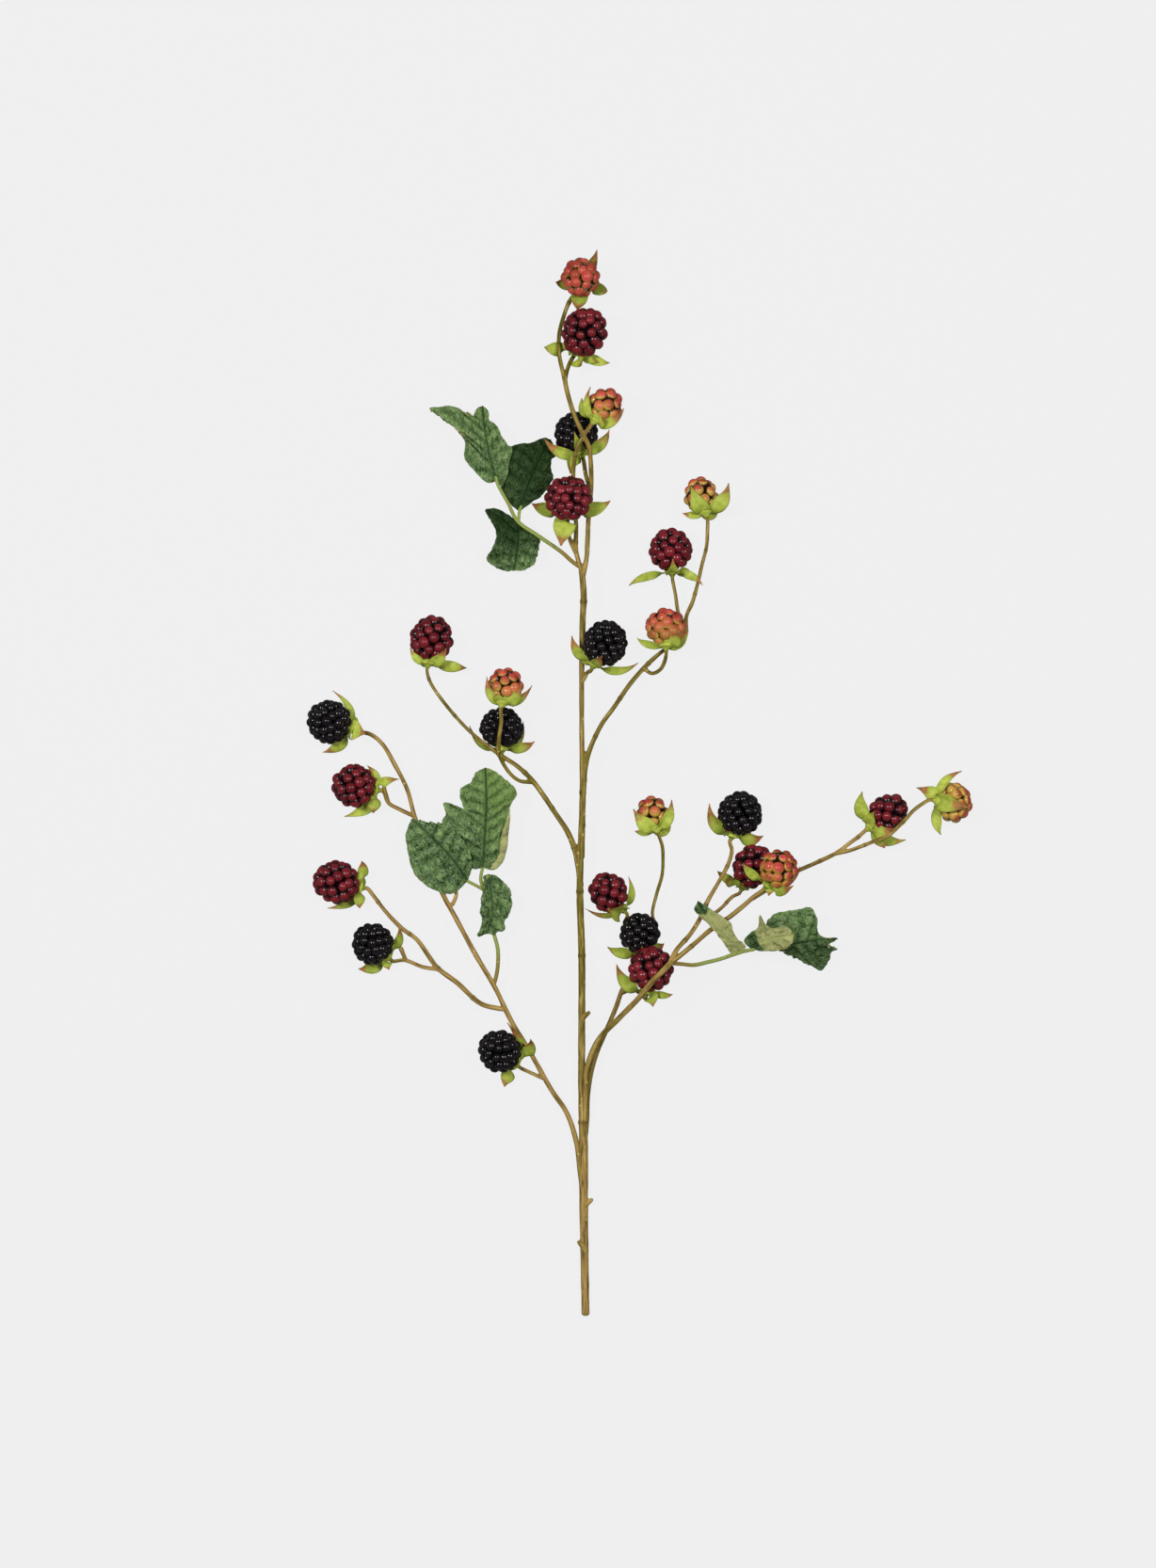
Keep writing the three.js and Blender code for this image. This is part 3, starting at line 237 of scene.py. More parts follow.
STEMS = (
    StemSpec("main_cane", (102.5, 191.0, 225.0, 277.5, 378.5), (
        Strand((0.0, 0.1, 0.8, 1.0, 0.5, 0.7), "", ((1, 0.5, 2.1, 2.1), (0.5, 29, 2.6, 2.15),
            (0, 61, 3.6, 2.35), (0, 85, 4.6, 2.4), (-1, 124, 6.5, 1.95), (-1, 159, 8.2, 1.85),
            (-1, 191, 9.6, 1.85), (-2, 225, 11, 1.8), (-1.5, 249, 11.8, 1.65), (-0.5, 277.5, 12.5, 1.65),
            (-1, 309, 13.3, 1.3), (-1, 344.5, 14.3, 1.4), (-0.5, 369.5, 15.3, 1.65), (0, 381.5, 16, 1.65),
            (-1, 395, 16.8, 1.7))),
        Strand((0.2,), "", ((0, 58, 3.4, 1.8), (4.5, 61.5, 4.4, 1))),
        Strand((0.2,), "", ((0.5, 35.5, 2.8, 1.7), (-3, 39, 3.2, 0.9))),
        Strand((0.6,), "", ((-1, 157, 8.1, 1.3), (3, 161, 9.4, 1))),
        Strand((0.7,), "main_1", ((-1, 336, 14, 1.05), (0.5, 338, 14.5, 1.05), (2, 341, 15.5, 1.05))),
        Strand((0.9, 0.7), "left_mid_1", ((-1.5, 228, 11, 1.5), (-4.5, 246.5, 12, 1.5),
            (-8.5, 256.5, 13, 1.45), (-15, 266.5, 14, 1.35), (-26.5, 283, 16, 1.3), (-34, 290.5, 17, 1.2),
            (-42, 296, 17.5, 1.15), (-51.5, 302.5, 17, 1), (-62.5, 312, 16, 0.95), (-75, 326.5, 14.5, 0.9),
            (-81.5, 336.5, 13.5, 0.9))),
        Strand((0.9,), "", ((-26.5, 283, 16, 1.2), (-33.5, 283.5, 15.2, 0.95), (-38.5, 287, 15.4, 1),
            (-43, 293.5, 16.5, 1), (-45.5, 299, 17.5, 1))),
        Strand((0.8,), "left_mid_2", ((-45, 297, 17.5, 1.1), (-45, 301.5, 21, 1.1), (-44.5, 307.5, 25.5, 1),
            (-43.5, 315, 27, 1))),
        Strand((0.9,), "left_mid_3", ((-42, 295, 17, 1.05), (-43, 296, 12, 1.05))),
        Strand((0.9, 0.8, 0.6), "right_mid_1", ((-1, 243, 11.5, 1.5), (0, 279, 12.7, 1.35),
            (1, 291, 13, 1.35), (3, 299.5, 13.3, 1.3), (9.5, 313.5, 13.7, 1.2), (16, 322.5, 13.8, 1.2),
            (25, 335.5, 13.2, 1.2), (34, 345.5, 12, 1.2), (42, 352.5, 10.5, 1.05), (53.5, 360, 10, 1.05),
            (54.5, 371, 10, 1.05), (57.5, 378, 10.5, 1.05), (60.5, 388.5, 11.5, 0.95),
            (62.5, 397.5, 12.5, 0.95), (65, 407.5, 14, 0.95), (65.5, 416, 15, 0.95))),
        Strand((0.7,), "right_mid_2", ((54, 365, 10, 1.05), (50.5, 371.5, 9.5, 0.95),
            (48.5, 383, 9, 0.95))),
        Strand((0.8,), "right_mid_3", ((32, 343, 12.4, 1.1), (36, 340.5, 14, 1), (40.5, 342.5, 18, 1),
            (43, 347.5, 23, 1))),
    )),
    StemSpec("top_shoot", (), (
        Strand((0.5, 0.3, 0.8), "", ((-0.5, 392, 16.7, 1.5), (1.5, 401.5, 17.2, 1.25), (2, 410, 17.5, 1.25),
            (2.5, 421.5, 16.8, 1.25), (4, 442, 19.5, 1.25), (2.5, 460.5, 26.5, 1.25),
            (-0.5, 466.5, 28.2, 1.25), (-6, 479.5, 29, 1.25), (-9.5, 492.5, 26.5, 1.25),
            (-10, 496.5, 24.5, 1.25))),
        Strand((0.9,), "top_1", ((-10, 495, 25, 1.2), (-11.5, 501.5, 22, 1.1), (-13, 509.5, 18.5, 1.1),
            (-13, 519, 15, 1.1), (-11.5, 526.5, 12.5, 1.1), (-7, 538.5, 10.5, 1.1))),
        Strand((0.9,), "top_2", ((-10, 495, 25, 1.2), (-8.5, 501.5, 20, 1.1), (-6.5, 506.5, 13, 1.1))),
        Strand((0.4, 0.6), "top_3", ((-1, 394, 16.8, 1.3), (-4, 405.5, 15.5, 1.2), (-4, 419, 15, 1.15),
            (-5.5, 434, 15.5, 1.1), (-5.5, 445.5, 18.5, 1.1), (-5, 452, 22, 1.1), (-3, 460, 26, 1.1),
            (0.5, 466.5, 27.5, 1.1))),
        Strand((0.9,), "top_4", ((3.5, 437, 18.6, 1.1), (1, 446, 16.8, 1.1))),
        Strand((0.5,), "top_5", ((-4, 404, 15.7, 1.1), (-7, 410.5, 15.5, 1.1), (-8.5, 417.5, 16, 1.1))),
    )),
    StemSpec("left_low_shoot", (), (
        Strand((0.4, 0.0, 0.0), "left_low_1", ((-0.9, 61, 4, 0.6), (-1.4, 69, 4.4, 1), (-2, 77, 4.8, 1.3),
            (-4, 92.5, 5, 1.35), (-9, 107.5, 5.5, 1.3), (-17, 119.5, 6, 1.3), (-28, 139, 7, 1.25),
            (-38.5, 156.5, 7.6, 1.3), (-47, 174, 8.2, 1.25), (-57, 191, 8.8, 1.3), (-67, 209.5, 9.4, 1.25),
            (-75, 224.5, 9.8, 1.3), (-82.5, 245, 9.8, 1.2), (-89.5, 264.5, 9.4, 1.15),
            (-93.5, 279, 9.2, 1.1), (-100, 292, 9, 1.15), (-107, 303.5, 8.6, 1.1),
            (-113.5, 308.5, 8.3, 1.1))),
        Strand((0.0,), "", ((-69.5, 218, 9.6, 1.1), (-67.5, 223.5, 9.8, 1), (-70, 231.5, 10, 0.95),
            (-75, 241.5, 10, 0.95), (-82, 247.5, 9.8, 0.95))),
        Strand((0.1,), "left_low_2", ((-89, 264.5, 9.4, 1.1), (-97.5, 268.5, 9.3, 1.05),
            (-103.5, 272, 9.2, 1.05))),
        Strand((0.1,), "", ((-103.5, 272, 9.2, 1.1), (-106, 281, 10, 1))),
        Strand((0.1, 0.0), "left_low_3", ((-43, 162.5, 8, 1.3), (-54.5, 165.5, 8, 1.3),
            (-67, 176.5, 7.8, 1.3), (-77.5, 184.5, 7.6, 1.3), (-88.5, 199.5, 8, 1.15),
            (-96.5, 205.5, 8.2, 1.15), (-105.5, 215, 8.6, 1.05), (-112, 223.5, 8.8, 1.05))),
        Strand((0.0,), "left_low_4", ((-76.5, 183.5, 7.6, 1.05), (-85.5, 185, 7.2, 1),
            (-95, 188.5, 6.2, 1))),
        Strand((0.0,), "", ((-94.5, 189, 6.5, 1.05), (-97, 195, 8, 1.25))),
        Strand((0.3,), "left_low_5", ((-22, 126, 6.4, 1), (-27.5, 128.5, 6, 0.95))),
    )),
    StemSpec("right_front_shoot", (), (
        Strand((0.5, 0.2), "", ((0.5, 101, 6, 1.1), (0.8, 113, 7.8, 1.4), (1, 124, 9.6, 1.4),
            (1.5, 130.5, 10.5, 1.45), (7.5, 146, 14, 1.45), (18, 157.5, 21.5, 1.45),
            (28.5, 168.5, 30.5, 1.45), (36.5, 178.5, 38.4, 1.5), (41, 183, 39.8, 1.5),
            (46, 188, 37.5, 1.5))),
        Strand((0.1, 0.2), "right_front_1", ((45, 187, 38, 1.4), (48.5, 194, 34, 1.25),
            (56, 202.5, 28, 1.2), (61.5, 211, 23, 1.2), (65.5, 220, 19, 1.15), (70.5, 228.5, 16.5, 1.05),
            (76.5, 239.5, 13.5, 1.05), (78.5, 247, 11, 1.05))),
        Strand((0.3,), "right_front_2", ((63, 214, 22, 1.05), (68.5, 213.5, 18, 1), (73, 216.5, 14.5, 0.95),
            (78.5, 222, 11, 0.95))),
        Strand((0.2,), "right_front_3", ((45, 187, 38, 1.4), (57.5, 197, 31.5, 1.25), (67, 205, 27, 1.25),
            (76, 211, 25, 1.25), (83, 216.5, 24.5, 1.25), (90, 222.5, 24, 1.2))),
        Strand((0.2,), "right_front_4", ((88.5, 221, 24.3, 1.1), (96, 225.5, 19, 1.1),
            (104, 231, 15.5, 1.1), (113.5, 236, 13.5, 1.1), (122.5, 240, 12.8, 1.1),
            (134, 245.5, 12.3, 1.1), (140, 250, 12.3, 1.05), (145.5, 254, 12.4, 1.05))),
        Strand((0.4,), "right_front_5", ((133, 245, 12.4, 1.1), (140, 246.5, 13.5, 1), (147, 249, 15.5, 1),
            (154.5, 252, 17, 1), (161.5, 255, 18, 1), (166, 259, 17.3, 1), (170.5, 263.5, 17.3, 1),
            (174, 267.5, 16.5, 1), (178.5, 271, 15.5, 1))),
    )),
    StemSpec("right_back_shoot", (), (
        Strand((0.5, 0.4, 0.9), "right_back_1", ((0.8, 90, 3.8, 0.9), (1.2, 97, 3.8, 1.3),
            (1.5, 104, 3.8, 1.5), (2, 116.5, 4.4, 1.45), (4, 129.5, 5.2, 1.35), (7, 139.5, 6.2, 1.3),
            (14, 156, 8, 1.25), (17.5, 164.5, 9, 1.25), (21, 174, 9.8, 1.15), (27, 181, 8.5, 1),
            (34, 190, 6.5, 1), (38.5, 199, 4.6, 0.95), (38.5, 206.5, 4.2, 0.9), (36.5, 212.5, 5, 0.9),
            (38.5, 223, 7.5, 0.9), (41.5, 233.5, 10, 0.9), (42, 241.5, 12.5, 0.9),
            (41.5, 249.5, 15.5, 0.9))),
        Strand((0.6,), "right_back_2", ((26.5, 180.5, 8.6, 1), (28, 189, 6, 0.95), (26.5, 197, 3.2, 0.95),
            (24, 203.5, 3.4, 0.95), (22, 208.5, 6, 0.95))),
        Strand((0.6,), "right_back_3", ((31, 185.5, 7.6, 1), (32.5, 188.5, 9, 0.95))),
        Strand((0.5,), "right_back_4", ((20, 171, 9.6, 1.05), (26, 173, 14, 0.95), (30, 171, 19, 0.95))),
    )),
)

LEAVES = (
    LeafSpec("leaf_upper_left", (
        ((-2.6, 397.2, 15.9, 1.15), (-6.5, 400, 16.3, 1.1), (-11.5, 404.5, 16.5, 1.05),
         (-24.5, 413.5, 17.2, 1.05), (-35, 421, 18, 1), (-40, 430.5, 18.6, 0.9), (-45.5, 440.5, 19, 0.85),
         (-46.5, 444.5, 18.8, 0.75)),
        ((-34.5, 420.5, 18, 0.9), (-34, 426, 17.4, 0.85), (-33, 429, 16.6, 0.75)),
    ), (
        LeafletSpec(
            rib=((-46, 442, 19), (-49.5, 454, 19), (-52, 468, 18), (-53.5, 482, 15.3)),
            left=((-51, 441.5, 18.5), (-57.5, 447.5, 18), (-63, 455, 17.5), (-62.7, 463, 17),
                (-68.5, 470.3, 15.5), (-75, 476.2, 13.5), (-81.3, 480.8, 12), (-76, 481.6, 13),
                (-70.6, 482.2, 14.5), (-64.3, 479.8, 16), (-61, 477.8, 16.8), (-58.6, 476.2, 17.4),
                (-57.4, 478.7, 17), (-55.5, 481.3, 16)),
            right=((-43.5, 439.5, 18), (-41, 445, 17.5), (-39.4, 452.5, 17.2), (-38.2, 458.5, 17),
                (-41.2, 462.3, 17), (-44.3, 467.4, 17), (-46.6, 472.2, 16.8), (-50, 474.2, 16.5),
                (-50.7, 479.5, 15.8)),
            tone=(0.0, 0.3, 0.0, 0.0), sweep=1.8, teeth=(0.2, 0.3),
        ),
        LeafletSpec(
            rib=((-34, 426, 17.5), (-29, 441.5, 17), (-23.5, 454, 13.5), (-17.5, 464.5, 9)),
            left=((-38.5, 430, 16), (-43, 437.5, 15.5), (-43.5, 449, 15), (-41.5, 458, 14.5),
                (-37, 461, 14), (-32.8, 462, 13.5), (-26.5, 463, 12), (-21, 465.3, 10)),
            right=((-30, 429.5, 16), (-24, 433.5, 14.5), (-18.5, 440, 12.5), (-16.5, 445, 11.5),
                (-17.5, 450.5, 11), (-17, 454.5, 10.5), (-15, 456.5, 10), (-15.5, 460.5, 9)),
            tone=(-0.75, -1.2, 0.05, 0.05), sweep=1.2, teeth=(0.2, 0.5),
        ),
        LeafletSpec(
            rib=((-35, 420.5, 18), (-34.5, 411.5, 17), (-35.5, 403, 14), (-37, 395, 10)),
            left=((-32, 418.5, 16.5), (-27, 416, 15), (-23.5, 412, 13.5), (-24.5, 405, 12),
                (-26.5, 399, 10.5), (-31.5, 395.5, 10)),
            right=((-39.5, 424.5, 17), (-45, 427.5, 15), (-52, 427, 12), (-48.5, 421, 13), (-46, 414, 14),
                (-48, 407, 12), (-51.5, 401, 9), (-47, 397.5, 9), (-42, 395, 9)),
            tone=(-1.5, 0.35, 0.1, -0.4), teeth=(0.4, 0.3),
        ),
    )),
    LeafSpec("leaf_left", (
        ((-47.8, 175.4, 8.2, 1.15), (-46.6, 179, 8.6, 1.1), (-45.5, 185.5, 9.5, 1.05),
         (-45.5, 194.5, 10.8, 1.05), (-47.5, 202.5, 11.8, 1), (-50.5, 214, 12.4, 1),
         (-52.5, 224.5, 12.8, 1), (-54.5, 231.5, 13.2, 0.9), (-53.5, 237.5, 14, 0.85)),
        ((-53, 226, 13, 0.9), (-57.5, 228.5, 14.4, 0.85), (-61.5, 230.5, 14.2, 0.85)),
        ((-53.5, 229, 13, 0.8), (-51.5, 231.5, 15, 0.7), (-50.5, 233.5, 15.8, 0.65)),
    ), (
        LeafletSpec(
            rib=((-61.5, 230.5, 14.2), (-69, 241.5, 16), (-79, 252.5, 16), (-91, 263.5, 13.5)),
            left=((-65, 227, 13.5), (-69.5, 224, 13), (-75, 224.5, 13), (-82, 227.5, 13.5),
                (-88.5, 233.5, 13.5), (-91.5, 239.5, 13.5), (-93, 246, 13.2), (-94, 253.5, 13),
                (-93, 258.5, 13)),
            right=((-59.5, 237, 14.5), (-59.5, 241, 15), (-61, 247, 15.5), (-64.5, 252.5, 15.5),
                (-68.5, 256.5, 15), (-75, 260.5, 14.5), (-82, 261.5, 14), (-87, 262.5, 13.5)),
            tone=(-0.1, 0.05, 0.0, 0.0), teeth=(0.2, 1.3),
        ),
        LeafletSpec(
            rib=((-53.5, 237.5, 14.8), (-52.5, 254, 16), (-51.5, 271.5, 17), (-52, 290.5, 15.5)),
            left=((-57.5, 237, 13.2), (-63, 241, 12), (-68, 248, 11.6), (-72, 255.5, 11.6),
                (-75, 261.5, 12), (-72.8, 266.5, 12.4), (-74, 271.8, 12), (-67.5, 270.8, 13.4),
                (-62.8, 268.5, 14.5), (-65.2, 275, 15), (-64.2, 280, 15.5), (-59.5, 282.8, 16),
                (-56.8, 288, 15.8)),
            right=((-48.5, 237, 14.4), (-44.2, 240.5, 14.5), (-41.8, 247.5, 14.8), (-41, 254.5, 15.2),
                (-40.2, 262.5, 15.6), (-39, 271, 16), (-35.8, 276.5, 16), (-37.2, 280, 16.2),
                (-42.5, 284.8, 16.3), (-47, 288.3, 16)),
            # Its darker left half is painted shade beside the first leaflet, which lies over it.
            tone=(-0.15, 0.9, -0.25, 0.15), sweep=1.5, flap=(1, 0.02, 0.56, 3.3), teeth=(0.5, 0.5),
            crumple=1.1,
        ),
        LeafletSpec(
            rib=((-50.5, 234, 16), (-49.3, 227, 17.2), (-48.3, 219.5, 17.6), (-48.5, 211.5, 17),
                (-52, 202.5, 14)),
            left=((-47.5, 233.8, 16.2), (-43, 230.5, 15.8), (-39, 225, 15.2), (-38.5, 218, 14.8),
                (-39.5, 213, 14.6), (-42, 209, 14), (-42, 205.5, 13.8), (-47, 203, 13.6)),
            right=((-52.8, 233.4, 15.6), (-52.3, 228.5, 15.8), (-53.7, 222, 15.6), (-54.5, 214, 15),
                (-53.5, 208, 14), (-55.5, 201, 12)),
            tone=(0.0, 0.1, 0.0, -0.2), teeth=(0.5, 0.5), crumple=1.2,
        ),
    )),
    LeafSpec("leaf_right", (
        ((47.5, 187.5, 35.5, 1.1), (52.5, 187, 33.5, 1.05), (58, 186.5, 31, 1.05), (65.5, 188, 28, 1.05),
         (72, 189.5, 25.2, 1), (78, 191.5, 23, 1), (84.5, 193.5, 21, 1), (90, 194.5, 19.8, 0.9)),
    ), (
        LeafletSpec(
            rib=((84, 194, 21.5), (75.5, 201.5, 29), (67.5, 209, 31.5), (60.5, 220, 27)),
            left=((79, 192, 22.5), (75.5, 196, 27), (70, 203.5, 31), (65.5, 208.5, 31), (58.5, 216, 27.5)),
            right=((85.5, 196, 23), (82, 199, 27), (79, 202.5, 30), (77.5, 208, 31.5), (73.5, 211.5, 32),
                (66, 216.5, 30)),
            tone=(0.2, -0.3, 0.0, 0.0), pale=True, turned=0.82, teeth=(0.1, 0.1), crumple=0.5,
        ),
        LeafletSpec(
            rib=((88.5, 194.5, 20), (95, 199, 22.5), (103, 201, 23.5), (111, 202, 22.5)),
            left=((85, 199, 20.5), (88.5, 203.5, 22), (92, 206, 23.5), (93, 212.5, 24.5), (96, 208.5, 25),
                (100, 205.5, 25.3), (105, 207, 25.3), (109, 205, 24)),
            right=((92.5, 194, 20), (98.5, 194, 20.5), (104, 194.5, 21), (109, 196.5, 21.5)),
            tone=(-0.6, 0.2, 0.0, 0.0), turned=0.3, teeth=(0.1, 0.1), crumple=0.6,
        ),
        LeafletSpec(
            rib=((91, 195, 19.6), (107.5, 197, 17.5), (121, 199, 16.5), (134.5, 200, 13.5)),
            left=((95.5, 204, 16), (100, 212.5, 17), (107, 214.5, 17.5), (114, 215.5, 17),
                (120, 216.5, 16.5), (123.5, 210, 16.5), (124, 203, 16.3), (129, 200, 15)),
            right=((100, 194, 17), (107, 193.5, 14.5), (112.5, 190, 12), (118, 187.5, 10),
                (126.5, 184, 7.5), (130, 188.5, 8.5), (131.5, 193, 10), (134.5, 195, 10.5),
                (129, 196, 12.5)),
            tone=(0.0, 0.1, 0.1, -0.6),
        ),
    )),
)


def linear(colour: str) -> tuple[float, float, float, float]:
    """Turns an sRGB hex colour into linear red, green, blue and alpha."""
    parts = (int(colour[i : i + 2], 16) / 255 for i in (1, 3, 5))
    return (*(p / 12.92 if p <= 0.04045 else ((p + 0.055) / 1.055) ** 2.4 for p in parts), 1.0)


def add(
    tree: bpy.types.NodeTree, kind: str, inputs: dict | None = None, **settings: object
) -> bpy.types.Node:
    """Adds a node to a tree.

    Args:
        tree: The node tree.
        kind: The node's type.
        inputs: What each input takes, by name or number: a plain value, a hex colour, a socket, or a
            node, of which the first output in use is linked.
        **settings: The node's own settings.

    Returns:
        The new node.
    """
    node = tree.nodes.new(kind)
    for name, value in settings.items():
        setattr(node, name, value)
    for key, value in (inputs or {}).items():
        if isinstance(value, bpy.types.Node):
            value = next(output for output in value.outputs if output.enabled)
        if isinstance(value, bpy.types.NodeSocket):
            tree.links.new(value, node.inputs[key])
        elif isinstance(value, str) and value.startswith("#"):
            node.inputs[key].default_value = linear(value)
        else:
            node.inputs[key].default_value = value
    return node


def new_material(name: str, *attributes: str) -> tuple[bpy.types.Material, bpy.types.NodeTree, dict]:
    """Makes a node material that is empty but for what its patterns read.

    Args:
        name: The material's name.
        *attributes: The point attributes that it reads as numbers.

    Returns:
        The material, its tree, and the sockets it reads: one by each attribute's name, and "spot", the
        place in metres.
    """
    material = bpy.data.materials.new(name)
    material.use_nodes = True
    tree = material.node_tree
    tree.nodes.clear()
    read = {key: add(tree, "ShaderNodeAttribute", attribute_name=key).outputs["Fac"] for key in attributes}
    if attributes:
        read["spot"] = add(tree, "ShaderNodeTexCoord").outputs["Object"]
    return material, tree, read


def coats(tree: bpy.types.NodeTree, ground: Feed, layers: Sequence[tuple]) -> bpy.types.Node:
    """Paints coats of colour over a ground, one after another.

    Args:
        tree: The material's tree.
        ground: The colour under the coats.
        layers: Each coat's share and colour. A share may be a number with the two ends of the span
            that is read from it and, unless they are 0 and 1, the shares at those ends.

    Returns:
        The node that gives the painted colour.
    """
    for share, colour in layers:
        if isinstance(share, tuple):
            share = add(tree, "ShaderNodeMapRange", dict(zip(("Value", 1, 2, 3, 4), share)))
        ground = add(tree, "ShaderNodeMix", {0: share, 6: ground, 7: colour}, data_type="RGBA")
    return ground


def surface(tree: bpy.types.NodeTree, colour: Feed, bump: tuple[Feed, float, float], gloss: dict) -> None:
    """Ends a material with its shader.

    Args:
        tree: The material's tree.
        colour: The surface's colour.
        bump: The node that gives its height, the bump's strength, and its distance in metres.
        gloss: The shader's other inputs by name.
    """
    normal = add(tree, "ShaderNodeBump", dict(zip(("Height", "Strength", "Distance"), bump)))
    shader = add(tree, "ShaderNodeBsdfPrincipled", {"Base Color": colour, "Normal": normal, **gloss})
    add(tree, "ShaderNodeOutputMaterial", {"Surface": shader})


def placed(name: str, data: bpy.types.ID) -> bpy.types.Object:
    """Makes an object and puts it in the scene.

    Args:
        name: The object's name.
        data: Its mesh, light or camera.

    Returns:
        The object.
    """
    thing = bpy.data.objects.new(name, data)
    bpy.context.scene.collection.objects.link(thing)
    return thing


def plain_mesh(carrier: bpy.types.Object) -> bpy.types.Mesh:
    """Turns an object with its modifiers into a plain mesh, and removes the object.

    Args:
        carrier: The object.

    Returns:
        The mesh.
    """
    view = bpy.context.evaluated_depsgraph_get()
    mesh = bpy.data.meshes.new_from_object(carrier.evaluated_get(view))
    bpy.data.objects.remove(carrier)
    return mesh


def store(mesh: bpy.types.Mesh, name: str, values: Array) -> None:
    """Stores point values on a mesh.

    Args:
        mesh: The mesh.
        name: The attribute's name.
        values: A number or a vector for each point.
    """
    kind, key = ("FLOAT", "value") if values.ndim == 1 else ("FLOAT_VECTOR", "vector")
    attribute = mesh.attributes.new(name, kind, "POINT")
    attribute.data.foreach_set(key, values.astype(np.float32).ravel())


def centre(node: str) -> Vector:
    """The middle of a model node's box, in metres."""
    low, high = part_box(node)
    return (Vector(low) + Vector(high)) / 2


ORIGIN = centre("berry_top_1") - Vector(TOP_BERRY_MIDDLE) * MM


def run_along(line: Array) -> Array:
    """The distance run along a line at each of its points."""
    return np.concatenate([[0], np.cumsum(np.linalg.norm(np.diff(line[:, :3], axis=0), axis=1))])


def catmull(points: Sequence[Sequence[float]], step: float) -> Array:
    """Runs a centripetal Catmull-Rom curve through points.

    Args:
        points: Places of any number of coordinates, of which the first three are x, y and z.
        step: The spacing of the result, in the points' own unit.

    Returns:
        Evenly spaced points on the curve, both ends included.
    """
    known = np.array(points, float)
    known = np.vstack([2 * known[0] - known[1], known, 2 * known[-1] - known[-2]])
    dense = []
    for i in range(1, len(known) - 2):
        p = known[i - 1 : i + 3]
        gaps = np.maximum(np.sum(np.diff(p[:, :3], axis=0) ** 2, axis=1) ** 0.25, 1e-4)
        t = np.concatenate([[0], np.cumsum(gaps)])
        u = np.linspace(t[1], t[2], 24, endpoint=False)[:, None]
        a = [((t[k + 1] - u) * p[k] + (u - t[k]) * p[k + 1]) / (t[k + 1] - t[k]) for k in range(3)]
        b = [((t[k + 2] - u) * a[k] + (u - t[k]) * a[k + 1]) / (t[k + 2] - t[k]) for k in range(2)]
        dense.append(((t[2] - u) * b[0] + (u - t[1]) * b[1]) / (t[2] - t[1]))
    dense.append(known[-2][None])
    line = np.vstack(dense)
    lengths = run_along(line)
    places = np.linspace(0, lengths[-1], max(2, round(lengths[-1] / step) + 1))
    return np.stack([np.interp(places, lengths, line[:, k]) for k in range(line.shape[1])], axis=1)


def unit(vectors: Array) -> Array:
    """Scales vectors to length 1 along the last axis."""
    return vectors / np.maximum(np.linalg.norm(vectors, axis=-1, keepdims=True), 1e-12)


def smooth(values: Array | float, low: float, high: float) -> Array:
    """Eases values from 0 at low to 1 at high."""
    share = np.clip((np.asarray(values, float) - low) / (high - low), 0, 1)
    return share * share * (3 - 2 * share)


def ripple(values: Array, seed: int, waves: int = 5) -> Array:
    """A smooth random curve whose waves are up to about 2 long.

    Args:
        values: The places to read it at.
        seed: Start of its random numbers.
        waves: How many waves are added, each finer and lower than the last.

    Returns:
        Heights, mostly between -1 and 1.
    """
    dice = np.random.default_rng(seed)
    total = np.zeros_like(np.asarray(values, float))
    for octave in range(waves):
        turns = dice.uniform(0.5, 1.0) * (octave + 1)
        total += np.sin(2 * math.pi * (turns * values + dice.uniform())) / (octave + 1)
    return total / 2


def crinkle(across: Array, along: Array, seed: int, waves: int = 16) -> Array:
    """An uneven surface: waves of about one unit's length that run every way.

    Args:
        across: First coordinate of each place.
        along: Second coordinate of each place.
        seed: Start of its random numbers.
        waves: How many waves are added.

    Returns:
        Heights, mostly between -1 and 1.
    """
    dice = np.random.default_rng(seed)
    total = np.zeros(np.broadcast(across, along).shape)
    for _ in range(waves):
        way, pace, start = dice.uniform(0, math.pi), dice.uniform(0.6, 1.5), dice.uniform(0, 2 * math.pi)
        total += np.sin(2 * math.pi * pace * (across * math.cos(way) + along * math.sin(way)) + start)
    return total / math.sqrt(waves)


# A direction that no tube starts in.
ASIDE = (0.31, 0.21, 0.93)


